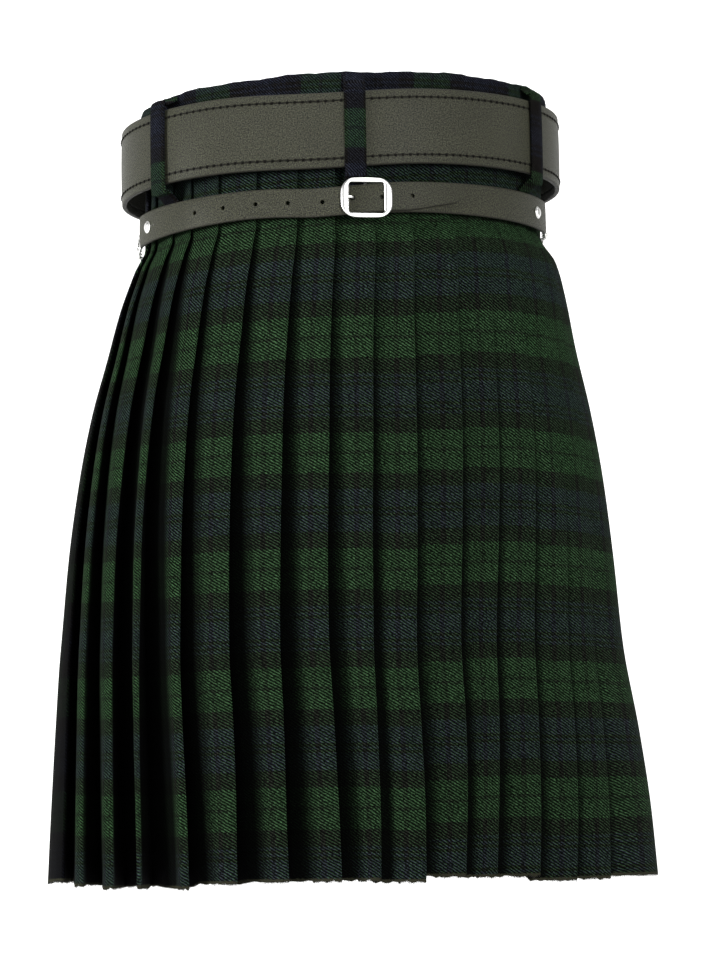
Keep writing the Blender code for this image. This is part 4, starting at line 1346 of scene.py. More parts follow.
def fuzz_tree():
    """Fuzz: short fine fibres that hang from the path at odd angles."""
    tree = Repeat("hem_fibres", {"Pitch": "NodeSocketFloat", "Length": "NodeSocketFloat",
                                 "Spread": "NodeSocketFloat", "Seed": "NodeSocketInt",
                                 "Material": "NodeSocketMaterial"})
    seed = tree.given("Seed")
    fibre = tree.node("GeometryNodeMeshCone", inputs={
        "Vertices": 3, "Radius Top": 0.00003, "Radius Bottom": 0.00013, "Depth": 1.0})
    hanging = tree.node("GeometryNodeTransform", inputs={
        "Geometry": fibre.outputs[0], "Rotation": (math.pi, 0.0, 0.0)})
    spread = tree.given("Spread")
    away = tree.math("MULTIPLY", spread, -1.0)
    jitter = tree.node("FunctionNodeRandomValue", {"data_type": "FLOAT_VECTOR"}, {
        0: tree.vector(away, away, away), 1: tree.vector(spread, spread, 0.0), "Seed": seed})
    points = tree.points()
    strewn = tree.node("GeometryNodeSetPosition", inputs={
        "Geometry": points.outputs[0], "Offset": jitter.outputs[0]})
    lean = tree.node("FunctionNodeRandomValue", {"data_type": "FLOAT_VECTOR"}, {
        0: (-0.9, -0.9, 0.0), 1: (0.9, 0.9, 2 * math.pi), "Seed": seed})
    size = tree.node("FunctionNodeRandomValue", {"data_type": "FLOAT"}, {
        2: 0.25, 3: 1.0, "Seed": seed})
    length = tree.math("MULTIPLY", size.outputs[1], tree.given("Length"))
    placed = tree.node("GeometryNodeInstanceOnPoints", inputs={
        "Points": strewn.outputs[0], "Instance": hanging.outputs[0],
        "Rotation": lean.outputs[0], "Scale": tree.vector(1.0, 1.0, length)})
    tree.end(placed.outputs[0])
    return tree


def make_pleated_cloth():
    """The four stretches of tartan that make the pleats and the aprons."""
    depths = cloth_depths()
    parts = (
        ("over_apron", over_apron_line),
        ("pleats_left", pleats_line(0, SPLIT_PLEAT)),
        ("pleats_right", pleats_line(SPLIT_PLEAT, LAST_PLEAT)),
        ("under_apron", under_apron_line),
    )
    cloth = bpy.context.scene.kilt_cloth
    tree = fuzz_tree()
    for node, line_at in parts:
        hem = cloth_piece(node, line_at, depths)
        tree.run(node + "_hem_fibres", hem, {
            "Pitch": cloth.fuzz_pitch, "Length": cloth.fuzz_length, "Spread": cloth.fuzz_spread,
            "Seed": bpy.context.scene.kilt_stage.seed, "Material": wool_fibre()}, "tartan")


def waistband_line(depth):
    line = ClothLine(depth)
    for angle in spaced(OVER_APRON_EDGE + BAND_END_GAP, BAND_END, APRON_COLUMN):
        on_pleats = ease(*BAND_RISE, angle) * (1.0 - ease(*BAND_FALL, angle))
        flat = BAND_ON_APRON if angle < 0.0 else BAND_ON_UNDER
        ripple = 0.00025 * math.sin(angle * 1.7) * math.sin(angle * 0.43)
        line.add(angle, blend(flat, BAND_ON_PLEATS, float(on_pleats)) + ripple, 0.0, WEFT_OF_BAND)
    line.faces.append((0, BAND_STRIPE, len(line.angles) - 1, BAND_PLACE, math.inf))
    return line


def make_waistband():
    """The straight band round the top edge."""
    cloth_piece("waistband", waistband_line, spaced(0.0, BAND_HEIGHT, BAND_ROW))


def smooth_route(points, steps):
    """A smooth line through points, by Catmull and Rom's rule."""
    points = [Vector(point) for point in points]
    padded = [points[0] * 2 - points[1]] + points + [points[-1] * 2 - points[-2]]
    line = []
    for index in range(1, len(padded) - 2):
        a, b, c, d = padded[index - 1:index + 3]
        for step in range(steps):
            t = step / steps
            line.append(0.5 * (2 * b + (c - a) * t + (2 * a - 5 * b + 4 * c - d) * t * t
                               + (3 * b - a - 3 * c + d) * t**3))
    line.append(points[-1])
    return line


def rounded_section(thickness, height, radius, crown=0.0, steps=4, middle=6):
    """A rounded section: points (out, up) round a band, crowned on its outer side."""
    half, top = thickness / 2, height / 2
    points = []
    corners = ((half - radius, top - radius, 0), (radius - half, top - radius, 90),
               (radius - half, radius - top, 180), (half - radius, radius - top, 270))
    for out, up, turn in corners:
        for step in range(steps + 1):
            angle = math.radians(turn + 90.0 * step / steps)
            points.append((out + radius * math.cos(angle), up + radius * math.sin(angle)))
        if turn in (90, 270):
            side = -1 if turn == 90 else 1
            for step in range(1, middle):
                share = step / middle
                rise = (radius - top) if turn == 270 else (top - radius)
                points.append((side * half, rise * (1 - 2 * share)))
    return [(out + crown * (1 - (up / top) ** 2) * (out > 0), up) for out, up in points]


def sweep_mesh(name, places, section, map_name="leather", widths=None):
    """A solid drawn by a section along places, each an origin, an out and an up axis."""
    bm = bmesh.new()
    layer = bm.loops.layers.uv.new(map_name)
    wear = bm.loops.layers.uv.new("wear")
    bm.loops.layers.uv.new("hollow")
    rings, along = [], [0.0]
    for index, (origin, out_axis, up_axis) in enumerate(places):
        width = widths[index] if widths else 1.0
        rings.append([bm.verts.new(origin + out_axis * out + up_axis * up * width)
                      for out, up in section])
        if index:
            along.append(along[-1] + (origin - places[index - 1][0]).length)
    for first, second, start, end in zip(rings, rings[1:], along, along[1:]):
        for corner in range(len(section)):
            nearby = (corner + 1) % len(section)
            face = bm.faces.new((first[corner], first[nearby], second[nearby], second[corner]))
            ups = (section[corner][1], section[nearby][1], section[nearby][1], section[corner][1])
            for loop, length, up in zip(face.loops, (start, start, end, end), ups):
                loop[layer].uv = (length, up)
                loop[wear].uv = FAR_FROM_FOLD_AND_HEM
    for ring, start in ((rings[0], along[0]), (rings[-1], along[-1])):
        face = bm.faces.new(ring)
        for loop, (out, up) in zip(face.loops, section):
            loop[layer].uv = (start + out, up)
            loop[wear].uv = FAR_FROM_FOLD_AND_HEM
    return finished_mesh(bm, name)


def upright_places(frames):
    """Places along a belt for its section to stand on, from frames along its middle."""
    return [(frame.translation, frame.to_3x3().col[2], Vector((0.0, 0.0, 1.0)))
            for frame in frames]


def make_belt_loops():
    """The three loops of tartan that carry the wide belt."""
    section = rounded_section(LOOP_CLOTH, LOOP_WIDTH, 0.0006, crown=0.0013, middle=8)
    for side, angle in LOOP_ANGLES.items():
        frame = frame_on(body_ellipse(0.0), angle, BAND_ON_PLEATS, 0.0)
        outward = frame.to_3x3().col[2]
        top = frame.translation
        belt = point_on(BELT_ELLIPSE, angle, 0.0, 0.0)
        rest = CLOTH / 2 + SEAM_GAP * 1.5 + LOOP_CLOTH / 2
        clear = (belt - top).dot(outward) + BELT_LEATHER / 2 + SEAM_GAP * 2 + LOOP_CLOTH / 2
        lower = point_on(body_ellipse(LOOP_BOTTOM), angle, WAIST_LIFT, 0.0)
        foot = (lower - top).dot(outward) + rest + LOOP_FOOT_CLEAR
        belt_top = BELT_TOP - WAIST_TILT * (belt.x - top.x) + sag(angle, BELT_SAG_REACH)
        bottom = LOOP_BOTTOM + sag(angle, STRAP_SAG_REACH)
        starts = {"top": (rest, LOOP_TOP), "foot": (foot, bottom)}
        edges = {"top": belt_top, "foot": belt_top + BELT_HEIGHT}
        route = []
        for part, out, below, share in LOOP_ROUTE:
            place, depth = starts[part]
            start = (place, depth) if share == 0.0 else (blend(place, clear, share), edges[part])
            route.append((start[0] + out, start[1] + below, 0.0))
        line = smooth_route(route, 5)
        places = []
        for index, point in enumerate(line):
            ahead = line[min(index + 1, len(line) - 1)] - line[max(index - 1, 0)]
            along = (outward * ahead.x - Vector((0, 0, 1)) * ahead.y).normalized()
            side_axis = frame.to_3x3().col[0]
            places.append((frame @ Vector((0.0, -point.y, point.x)), side_axis.cross(along) * -1,
                           side_axis))
        mesh = sweep_mesh("belt_loop_" + side + "_cloth", places, section, map_name="turned")
        turn_map(mesh, LOOP_SETT[side])
        piece = link_piece(mesh.name, mesh, tartan_wool(), ["belt_loop_" + side])
        length = sum((b - a).length for a, b in zip(line, line[1:]))


def turn_map(mesh, place):
    """Give a loop its cloth map: across its width and down its length."""
    turned = mesh.uv_layers["turned"]
    made = mesh.uv_layers.new(name="cloth")
    for old, new in zip(turned.data, made.data):
        new.uv = (old.uv[1] + place[0], old.uv[0] + place[1])
    mesh.uv_layers.remove(mesh.uv_layers["turned"])


def make_wide_belt():
    """The wide belt and its two rows of stitches."""
    leather_settings = bpy.context.scene.kilt_leather
    section = rounded_section(BELT_LEATHER, BELT_HEIGHT, 0.0011, crown=0.0005, middle=14)
    places = upright_places(belt_frames())
    leather_piece("wide_belt", belt_leather(), places, section)
    tree = stitch_tree()
    row = BELT_HEIGHT / 2 - leather_settings.stitch_inset
    out = BELT_LEATHER / 2 + STITCH_CROWN * (1 - (row / (BELT_HEIGHT / 2)) ** 2)
    for label, up in (("upper", row), ("lower", -row)):
        path = []
        for origin, out_axis, up_axis in places:
            path.append(origin + out_axis * (out - STITCH_SINK) + up_axis * up)
        count, pitch = belt_stitches()
        tree.run("belt_stitches_" + label, path, {
            "Count": count, "Pitch": pitch, "Length": leather_settings.stitch_length,
            "Width": leather_settings.stitch_width, "Knot": leather_settings.stitch_knot,
            "Material": waxed_thread()}, "belt_leather")


def circle(count):
    """The cosine and the sine of each of a number of even turns."""
    turns = [2 * math.pi * step / count for step in range(count)]
    return [(math.cos(turn), math.sin(turn)) for turn in turns]


def bridge(bm, first, second):
    """Faces between two rings of points."""
    for corner in range(len(first)):
        nearby = (corner + 1) % len(first)
        bm.faces.new((first[corner], first[nearby], second[nearby], second[corner]))


def rounded_outline(width, height, radius, steps=8, between=0):
    """Points of a rounded rectangle about its middle, from the right side round."""
    corners = []
    for quarter, (sx, sy) in enumerate(((1, 1), (-1, 1), (-1, -1), (1, -1))):
        centre = Vector((sx * (width / 2 - radius), sy * (height / 2 - radius)))
        turns = [math.radians(90.0 * (quarter + step / steps)) for step in range(steps + 1)]
        corners.append([centre + Vector((math.cos(turn), math.sin(turn))) * radius
                        for turn in turns])
    points = []
    for corner, following in zip(corners, corners[1:] + corners[:1]):
        points += corner
        points += [corner[-1].lerp(following[0], step / (between + 1))
                   for step in range(1, between + 1)]
    return points


def make_belt_plate():
    """The plate that closes the wide belt: a plain curved plate with a raised rim."""
    base = BELT_LEATHER / 2 + SEAM_GAP * 1.5
    top = PLATE_METAL
    rings = (
        (1.000, 0.0000), (1.000, top * 0.60), (0.994, top * 0.86), (0.982, top),
        (0.900, top), (0.886, top * 0.92), (0.872, top * 0.72), (0.850, top * 0.68),
        (0.640, top * 0.72), (0.420, top * 0.76), (0.200, top * 0.78),
    )
    back = ((0.75, 0.0), (0.50, 0.0), (0.25, 0.0))
    outline = rounded_outline(PLATE_WIDTH, PLATE_HEIGHT, PLATE_CORNER)
    to_degrees = degrees_per_metre(BELT_ELLIPSE, 180.0)
    middle = BELT_TOP + BELT_HEIGHT / 2

    def place(point, level):
        angle = 180.0 + point.x * to_degrees
        flat = on_ellipse(BELT_ELLIPSE, [angle], [base + level])[0]
        return (flat[0], flat[1], float(height_at(middle, flat[0])) + point.y)

    bm = bmesh.new()
    for steps in (rings, ((1.0, 0.0),) + back):
        previous = None
        for scale, level in steps:
            ring = [bm.verts.new(place(point * scale, level)) for point in outline]
            if previous:
                bridge(bm, previous, ring)
            previous = ring
        centre = bm.verts.new(place(Vector((0.0, 0.0)), steps[-1][1]))
        for index in range(len(previous)):
            bm.faces.new((previous[index], previous[(index + 1) % len(previous)], centre))
    bmesh.ops.remove_doubles(bm, verts=bm.verts, dist=0.00001)
    silver_piece(bm, "belt_plate", smooth=40.0)


def punch(piece, holes):
    """Cut round holes through a strap."""
    bm = bmesh.new()
    for frame, radius in holes:
        bmesh.ops.create_cone(bm, cap_ends=True, segments=20, radius1=radius, radius2=radius,
                              depth=0.014, matrix=frame)
    tool = bpy.data.objects.new("punch", finished_mesh(bm, "punch"))
    bpy.context.scene.collection.objects.link(tool)
    cut = piece.modifiers.new("Holes", "BOOLEAN")
    cut.object = tool
    cut.solver = "EXACT"
    settle(piece)
    bpy.data.objects.remove(tool, do_unlink=True)
    piece.data.shade_smooth()
    piece.data.set_sharp_from_angle(angle=math.radians(50.0))


def strap_widths(angles, heights, between):
    """How wide the strap is at each angle, as a share of its height at the buckle."""
    return [blend(*heights, float(ease(*between, angle))) / STRAP_HEIGHT for angle in angles]


def make_narrow_strap():
    """Both parts of the narrow strap, with the holes and the rounded tip of its tail."""
    section = rounded_section(STRAP_LEATHER, STRAP_HEIGHT, 0.0009, crown=0.0003, middle=8)
    turns = (12, 25, 38, 50, 62, 72, 80, 86, 90)
    angles = spaced(STRAP_LEFT_END, STRAP_TAIL_END - TAIL_TIP, BELT_COLUMN)
    widths = strap_widths(angles, STRAP_LEFT_HEIGHTS, STRAP_LEFT_NARROWS)
    tail = widths[-1]
    for turn in turns:
        angles.append(STRAP_TAIL_END - TAIL_TIP * (1 - math.sin(math.radians(turn))))
        widths.append(tail * max(math.cos(math.radians(turn)), 0.1) ** 0.8)
    places = upright_places([
        strap_frame(angle, UPPER_LAYER * float(ease(*TAIL_LIFTS, angle - BUCKLE_ANGLE)))
        for angle in angles])
    for index, angle in enumerate(angles):
        taper = TAIL_TAPER * float(ease(*TAIL_NARROWS, angle))
        origin, out_axis, up_axis = places[index]
        spare = tail - widths[index]
        widths[index] *= 1.0 - taper
        rise = STRAP_HEIGHT / 2 * (tail * taper + 0.4 * spare * (angle > TAIL_NARROWS[0]))
        places[index] = (origin + up_axis * rise, out_axis, up_axis)
    piece = leather_piece("strap_left", strap_leather(), places, section, widths)
    holes = [(strap_frame(angle, UPPER_LAYER / 2), HOLE_RADIUS) for angle in HOLE_ANGLES]
    beside_bar = Matrix.Translation((-PRONG_HOLE_REACH, 0.0, UPPER_LAYER / 2))
    holes.append((strap_frame(BUCKLE_ANGLE) @ beside_bar, PRONG_HOLE_RADIUS))
    punch(piece, holes)
    ellipse = body_ellipse(STRAP_DEPTH)
    start = BUCKLE_ANGLE + BAR_ROOM * degrees_per_metre(ellipse, BUCKLE_ANGLE)
    angles = spaced(start, STRAP_RIGHT_END, BELT_COLUMN)
    leather_piece("strap_right", strap_leather(),
                  upright_places([strap_frame(angle) for angle in angles]), section,
                  strap_widths(angles, STRAP_RIGHT_HEIGHTS, STRAP_RIGHT_WIDENS))


def frame_mesh(bm, frame, width, height, metal, side_bar, cross_bar, corner, barrel=0.0):
    """A rounded rectangular frame of flat rounded bar, whose sides may bow out."""
    outer = rounded_outline(width - 2 * barrel, height - 2 * barrel, corner, between=5)
    for point in outer:
        bow_out = barrel * (1 - (2 * point.y / height) ** 2)
        bow_up = barrel * (1 - (2 * point.x / width) ** 2)
        point.x += math.copysign(bow_out, point.x)
        point.y += math.copysign(bow_up, point.y)
    inner = rounded_outline(width - 2 * side_bar, height - 2 * cross_bar, corner * 0.22, between=5)
    rings = []
    for far, near in zip(outer, inner):
        middle = (far + near) / 2
        reach = (far - near) / 2
        ring = []
        for cosine, sine in circle(12):
            along = math.copysign(abs(cosine) ** 0.75, cosine)
            lift = math.copysign(abs(sine) ** 0.75, sine) * metal / 2
            flat = middle + reach * along
            ring.append(bm.verts.new(frame @ Vector((flat.x, flat.y, lift))))
        rings.append(ring)
    join_rings(bm, rings, True)


def join_rings(bm, rings, closed):
    """Faces between rings of points, capped at the ends unless they close on each other."""
    pairs = list(zip(rings, rings[1:]))
    if closed:
        pairs.append((rings[-1], rings[0]))
    for first, second in pairs:
        bridge(bm, first, second)
    if not closed:
        bm.faces.new(rings[0])
        bm.faces.new(rings[-1])


def tube(bm, points, radii, sides=12, closed=False):
    """A round tube through points, whose radius may change along it."""
    rings = []
    count = len(points)
    for index, point in enumerate(points):
        if closed:
            ahead = points[(index + 1) % count] - points[index - 1]
        else:
            ahead = points[min(index + 1, count - 1)] - points[max(index - 1, 0)]
        along = ahead.normalized()
        side = along.cross(Vector((0.12, 0.2, 1.0))).normalized()
        up = side.cross(along)
        rings.append([bm.verts.new(point + (side * cosine + up * sine) * radii[index])
                      for cosine, sine in circle(sides)])
    join_rings(bm, rings, closed)


def buckle_bar(bm, frame, half, drop, near, low, radius):
    """The bar of a buckle: from edge to edge across its middle, dropped below its frame."""
    side = [(-half, 0.0), (-half + near, drop * 0.5), (-half + low, drop)]
    line = side + [(0.0, drop)] + [(-up, level) for up, level in reversed(side)]
    route = smooth_route([(0.0, up, level) for up, level in line], 5)
    tube(bm, [frame @ point for point in route], [radius] * len(route), 10)


def make_strap_buckle():
    """The buckle of the narrow strap, with its centre bar and its prong."""
    frame = strap_frame(BUCKLE_ANGLE, BUCKLE_LEVEL)
    bm = bmesh.new()
    frame_mesh(bm, frame, BUCKLE_WIDTH, BUCKLE_HEIGHT, BUCKLE_METAL, 0.0064, 0.0036, 0.0092, 0.0012)
    drop = -BUCKLE_LEVEL
    half = BUCKLE_HEIGHT / 2 - 0.0020
    buckle_bar(bm, frame, half, drop, 0.0006, 0.0022, 0.0011)
    silver_piece(bm, "strap_buckle")
    low = strap_frame(BUCKLE_ANGLE)
    top = BUCKLE_LEVEL + BUCKLE_METAL / 2 + 0.0011
    route = smooth_route([
        (0.0016, 0.0, -0.0002), (0.0000, 0.0, 0.0018), (-0.0022, 0.0, -0.0002),
        (-0.0086, 0.0, -0.0002), (-0.0097, 0.0, 0.0006), (-0.0101, 0.0, 0.0018),
        (-0.0103, 0.0, 0.0044), (-0.0110, 0.0, top - 0.0012), (-0.0124, 0.0, top),
        (-0.0160, 0.0, top - 0.0001)], 4)
    count = len(route)
    radii = [blend(0.00125, 0.00085, index / count) for index in range(count)]
    bm = bmesh.new()
    tube(bm, [low @ point for point in route], radii, 12)
    silver_piece(bm, "strap_prong")


def make_rivets():
    """The domed rivets at the strap's ends, each on its thin washer."""
    head = STRAP_LEATHER / 2 + SEAM_GAP
    profile = [(RIVET_RADIUS, 0.0), (RIVET_RADIUS * 1.02, 0.00025),
               (RIVET_RADIUS * 0.97, 0.00050), (RIVET_RADIUS * 0.86, 0.00062)]
    dome = [(RIVET_RADIUS * 0.84 * math.cos(math.radians(turn)),
             0.00062 + (RIVET_HEIGHT - 0.00062) * math.sin(math.radians(turn)))
            for turn in range(0, 90, 15)]
    for side, angle in (("left", STRAP_LEFT_END + RIVET_INSETS["left"]),
                        ("right", STRAP_RIGHT_END - RIVET_INSETS["right"])):
        frame = strap_frame(angle, head)
        bm = bmesh.new()
        rings = []
        for radius, level in profile + dome:
            rings.append([bm.verts.new(frame @ Vector((radius * cosine, radius * sine, level)))
                          for cosine, sine in circle(28)])
        join_rings(bm, rings, False)
        silver_piece(bm, "rivet_" + side)


def chain_frame(angle, depth):
    """A frame on the chain's line, which lies on the pleats, then on the apron."""
    out = blend(CHAIN_OUT_SIDE, CHAIN_OUT_FRONT, float(ease(*CHAIN_ON_APRON, abs(angle))))
    return frame_on(body_ellipse(depth), angle, out, depth)


def chain_depth(angle):
    """The chain's depth below the top edge: lower in front than at the strap's ends."""
    front = 0.5 - 0.5 * math.cos(math.radians(angle))
    return STRAP_DEPTH + CHAIN_DROP + CHAIN_SAG * float(ease(0.45, 1.0, front))


def wire_ring(node, frame, radius):
    """A round wire ring lying flat on a frame."""
    bm = bmesh.new()
    points = [frame @ Vector((radius * cosine, radius * sine, 0.0))
              for cosine, sine in circle(ROUND_STEPS)]
    tube(bm, points, [RING_WIRE] * ROUND_STEPS, 10, closed=True)
    silver_piece(bm, node)


def make_chain():
    """The end rings, the two runs of chain and the plain ring that joins them."""
    metal = bpy.context.scene.kilt_metal
    tree = chain_tree()
    reach = RING_RADIUS + RING_WIRE + SEAM_GAP
    half_width, half_depth, shift = body_ellipse(STRAP_DEPTH)
    strap_line = (half_width + STRAP_OUT, half_depth + STRAP_OUT, shift)
    clasp_room = (CLASP_RADIUS + RING_WIRE + SEAM_GAP) * degrees_per_metre(
        body_ellipse(chain_depth(180.0)), 180.0)
    for side, end, sign in (("left", STRAP_LEFT_END, -1), ("right", STRAP_RIGHT_END, 1)):
        away = reach * degrees_per_metre(strap_line, end)
        ring_angle = end + sign * away
        lowered = strap_frame(ring_angle) @ Matrix.Translation((0.0, -RING_DROP, 0.0))
        wire_ring("ring_" + side, lowered, RING_RADIUS)
        start = ring_angle + sign * (away + CHAIN_GAP - 1.2)
        path = [chain_frame(angle, chain_depth(angle)).translation
                for angle in spaced(start, sign * (180.0 - clasp_room + 0.5), BELT_COLUMN)]
        piece = tree.run("chain_" + side + "_links", path, {
            "Pitch": metal.link_length - 2 * metal.link_wire, "Length": metal.link_length,
            "Width": metal.link_width, "Wire": metal.link_wire, "Material": bright_silver()},
            "silver")
        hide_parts("chain_" + side)
    wire_ring("chain_clasp", chain_frame(180.0, chain_depth(180.0)), CLASP_RADIUS)


def make_hip_fastening():
    """The strap and the buckle that close the over-apron on the right hip."""
    out = OVER_APRON_LIFT + CLOTH / 2 + SEAM_GAP + HIP_LEATHER / 2 + HIP_WAVE_ROOM
    angles = spaced(HIP_STRAP_TIP, HIP_STRAP_FROM, BELT_COLUMN)
    places = []
    for angle in angles:
        frame = frame_on(body_ellipse(HIP_DEPTH), angle, out, HIP_DEPTH)
        upper = cloth_point(HIP_DEPTH - HIP_STRAP_HEIGHT / 2, angle, out)
        lower = cloth_point(HIP_DEPTH + HIP_STRAP_HEIGHT / 2, angle, out)
        places.append((frame.translation, frame.to_3x3().col[2], (upper - lower).normalized()))
    section = rounded_section(HIP_LEATHER, HIP_STRAP_HEIGHT, 0.0008, crown=0.0002, middle=8)
    tip = [0.45, 0.78, 0.94] + [1.0] * (len(places) - 3)
    leather_piece("hip_strap", strap_leather(), places, section, tip)
    up = (cloth_point(HIP_DEPTH - HIP_STRAP_HEIGHT / 2, HIP_BUCKLE_ANGLE)
          - cloth_point(HIP_DEPTH + HIP_STRAP_HEIGHT / 2, HIP_BUCKLE_ANGLE)).normalized()
    along = frame_on(body_ellipse(HIP_DEPTH), HIP_BUCKLE_ANGLE, 0.0, HIP_DEPTH).to_3x3().col[0]
    outward = along.cross(up).normalized()
    level = out + HIP_LEATHER / 2 + SEAM_GAP * 3 + BUCKLE_METAL / 2
    turn = Matrix((along, up, outward)).transposed().to_4x4()
    place = cloth_point(HIP_DEPTH, HIP_BUCKLE_ANGLE) + outward * level
    frame = Matrix.Translation(place) @ turn
    bm = bmesh.new()
    frame_mesh(bm, frame, HIP_BUCKLE_WIDTH, HIP_BUCKLE_HEIGHT, BUCKLE_METAL, 0.0045, 0.0045, 0.0072)
    half = HIP_BUCKLE_HEIGHT / 2 - 0.0022
    drop = CLOTH / 2 + SEAM_GAP + 0.0008 - level
    buckle_bar(bm, frame, half, drop, 0.0004, 0.0016, 0.0009)
    silver_piece(bm, "hip_buckle")


def area_light(name, place, target, size, power):
    """A soft square light that looks at a target."""
    light = bpy.data.lights.new(name, "AREA")
    light.shape = "SQUARE"
    light.size = size
    light.energy = power
    thing = bpy.data.objects.new(name, light)
    thing.location = place
    thing.rotation_mode = "QUATERNION"
    thing.rotation_quaternion = (Vector(target) - Vector(place)).to_track_quat("-Z", "Y")
    bpy.context.scene.collection.objects.link(thing)


def photo_camera():
    """The camera at the photograph's place, turned and rolled as it was."""
    turn = math.radians(-CAMERA_AZIMUTH + CAMERA_AIM)
    pitch, roll = math.radians(CAMERA_PITCH), math.radians(CAMERA_ROLL)
    forward = Vector((math.sin(turn) * math.cos(pitch), math.cos(turn) * math.cos(pitch),
                      math.sin(pitch)))
    right = Vector((math.cos(turn), -math.sin(turn), 0.0))
    up = right.cross(forward)
    rolled_right = right * math.cos(roll) - up * math.sin(roll)
    rolled_up = right * math.sin(roll) + up * math.cos(roll)
    data = bpy.data.cameras.new("photo_camera")
    data.sensor_width = SENSOR
    data.lens = FOCAL_PIXELS / max(PHOTO_WIDTH, PHOTO_HEIGHT) * SENSOR
    data.clip_start = 0.05
    data.clip_end = 60.0
    thing = bpy.data.objects.new("photo_camera", data)
    azimuth = math.radians(CAMERA_AZIMUTH)
    axes = Matrix((rolled_right, rolled_up, -forward)).transposed().to_4x4()
    place = Vector((math.sin(azimuth), -math.cos(azimuth), 0.0)) * CAMERA_DISTANCE
    place.z = CAMERA_HEIGHT
    thing.matrix_world = Matrix.Translation(place) @ axes
    bpy.context.scene.collection.objects.link(thing)
    bpy.context.scene.camera = thing


def make_stage():
    """The pale floor and backdrop, the lights and the camera."""
    stage = bpy.context.scene.kilt_stage
    floor = -KILT_LENGTH - stage.floor_drop
    profile = [(-7.0, 0.0), (2.0, 0.0)]
    profile += [(2.0 + 1.4 * math.sin(math.radians(turn)), 1.4 * (1 - math.cos(math.radians(turn))))
                for turn in range(6, 91, 6)]
    profile += [(3.4, 5.0)]
    bm = bmesh.new()
    sides = [[bm.verts.new((x, y, floor + z)) for y, z in profile] for x in (-7.0, 7.0)]
    for index in range(len(profile) - 1):
        bm.faces.new((sides[0][index], sides[1][index], sides[1][index + 1], sides[0][index + 1]))
    mesh = bpy.data.meshes.new("backdrop")
    bm.to_mesh(mesh)
    bm.free()
    mesh.shade_smooth()
    mesh.materials.append(studio_paper())
    backdrop = bpy.data.objects.new("backdrop", mesh)
    bpy.context.scene.collection.objects.link(backdrop)
    backdrop.visible_diffuse = False
    middle = (0.0, 0.0, -KILT_LENGTH / 2)
    for name, place, size, power in (("key_light", (1.4, -3.1, 0.3), 1.2, stage.key_power),
                                     ("fill_light", (-3.2, -0.95, 0.2), 0.9, stage.fill_power),
                                     ("top_light", (0.3, -0.4, 2.4), 1.6, stage.top_power)):
        area_light(name, place, middle, size, power)
    world = bpy.data.worlds.new("studio")
    world.use_nodes = True
    sky = world.node_tree.nodes["Background"]
    sky.inputs["Color"].default_value = (1.0, 1.0, 1.0, 1.0)
    sky.inputs["Strength"].default_value = stage.sky
    bpy.context.scene.world = world
    bpy.context.scene.view_settings.view_transform = "Standard"
    photo_camera()


class KILT_OT_pleated_cloth(bpy.types.Operator):
    """Make the pleated cloth and both aprons, with the fibres of their raw hem"""

    bl_idname = "kilt.pleated_cloth"
    bl_label = "Pleated cloth"

    def execute(self, context):
        make_pleated_cloth()
        return {"FINISHED"}


class KILT_OT_waistband(bpy.types.Operator):
    """Make the waistband"""

    bl_idname = "kilt.waistband"
    bl_label = "Waistband"

    def execute(self, context):
        make_waistband()
        return {"FINISHED"}


class KILT_OT_belt_loops(bpy.types.Operator):
    """Make the three loops that carry the wide belt"""

    bl_idname = "kilt.belt_loops"
    bl_label = "Belt loops"

    def execute(self, context):
        make_belt_loops()
        return {"FINISHED"}


class KILT_OT_wide_belt(bpy.types.Operator):
    """Make the wide belt and its stitches"""

    bl_idname = "kilt.wide_belt"
    bl_label = "Wide belt"

    def execute(self, context):
        make_wide_belt()
        return {"FINISHED"}


class KILT_OT_belt_plate(bpy.types.Operator):
    """Make the plate that closes the wide belt"""

    bl_idname = "kilt.belt_plate"
    bl_label = "Belt plate"

    def execute(self, context):
        make_belt_plate()
        return {"FINISHED"}


class KILT_OT_narrow_strap(bpy.types.Operator):
    """Make both parts of the narrow strap"""

    bl_idname = "kilt.narrow_strap"
    bl_label = "Narrow strap"

    def execute(self, context):
        make_narrow_strap()
        return {"FINISHED"}


class KILT_OT_strap_buckle(bpy.types.Operator):
    """Make the strap's buckle and prong"""

    bl_idname = "kilt.strap_buckle"
    bl_label = "Strap buckle"

    def execute(self, context):
        make_strap_buckle()
        return {"FINISHED"}


class KILT_OT_rivets(bpy.types.Operator):
    """Make the rivets at the strap's ends"""

    bl_idname = "kilt.rivets"
    bl_label = "Rivets"

    def execute(self, context):
        make_rivets()
        return {"FINISHED"}


class KILT_OT_chain(bpy.types.Operator):
    """Make the rings, the chain and the ring that joins it"""

    bl_idname = "kilt.chain"
    bl_label = "Chain"

    def execute(self, context):
        make_chain()
        return {"FINISHED"}


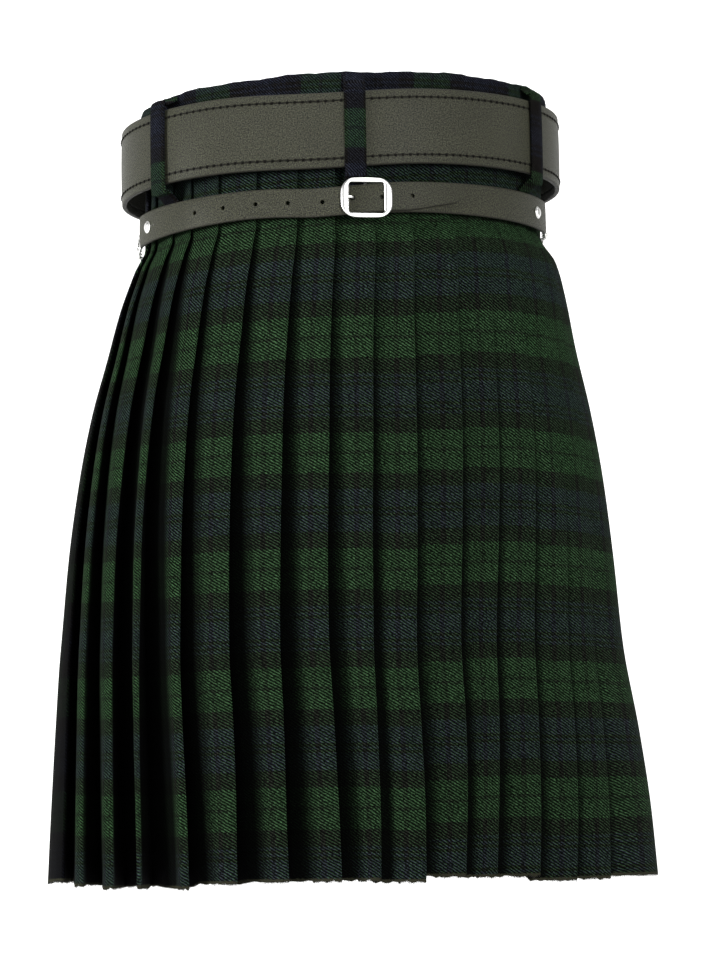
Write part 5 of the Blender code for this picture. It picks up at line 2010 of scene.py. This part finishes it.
class KILT_OT_hip_fastening(bpy.types.Operator):
    """Make the strap and buckle on the hip"""

    bl_idname = "kilt.hip_fastening"
    bl_label = "Hip fastening"

    def execute(self, context):
        make_hip_fastening()
        return {"FINISHED"}


class KILT_OT_stage(bpy.types.Operator):
    """Make the backdrop, the lights and the camera"""

    bl_idname = "kilt.stage"
    bl_label = "Stage"

    def execute(self, context):
        make_stage()
        return {"FINISHED"}


SETTINGS = {"kilt_cloth": ClothSettings, "kilt_leather": LeatherSettings,
            "kilt_metal": MetalSettings, "kilt_stage": StageSettings}
OPERATORS = (KILT_OT_pleated_cloth, KILT_OT_waistband, KILT_OT_belt_loops, KILT_OT_wide_belt,
             KILT_OT_belt_plate, KILT_OT_narrow_strap, KILT_OT_strap_buckle, KILT_OT_rivets,
             KILT_OT_chain, KILT_OT_hip_fastening, KILT_OT_stage)


class KILT_PT_panel(bpy.types.Panel):
    """Lists the kilt's settings and the pieces to make"""

    bl_idname = "KILT_PT_panel"
    bl_label = "Scottish Kilt"
    bl_space_type = "VIEW_3D"
    bl_region_type = "UI"
    bl_category = "Kilt"

    def draw(self, context):
        for name, group in SETTINGS.items():
            box = self.layout.box()
            for label in group.__annotations__:
                box.prop(getattr(context.scene, name), label)
        for operator in OPERATORS:
            self.layout.operator(operator.bl_idname)


def register():
    for group in (*SETTINGS.values(), *OPERATORS, KILT_PT_panel):
        bpy.utils.register_class(group)
    for name, group in SETTINGS.items():
        setattr(bpy.types.Scene, name, PointerProperty(type=group))


def unregister():
    for name in SETTINGS:
        delattr(bpy.types.Scene, name)
    for group in reversed((*SETTINGS.values(), *OPERATORS, KILT_PT_panel)):
        bpy.utils.unregister_class(group)


def main():
    register()
    bpy.ops.kilt.pleated_cloth()
    bpy.ops.kilt.waistband()
    bpy.ops.kilt.belt_loops()
    bpy.ops.kilt.wide_belt()
    bpy.ops.kilt.belt_plate()
    bpy.ops.kilt.narrow_strap()
    bpy.ops.kilt.strap_buckle()
    bpy.ops.kilt.rivets()
    bpy.ops.kilt.chain()
    bpy.ops.kilt.hip_fastening()
    bpy.ops.kilt.stage()


if __name__ == "__main__":
    main()
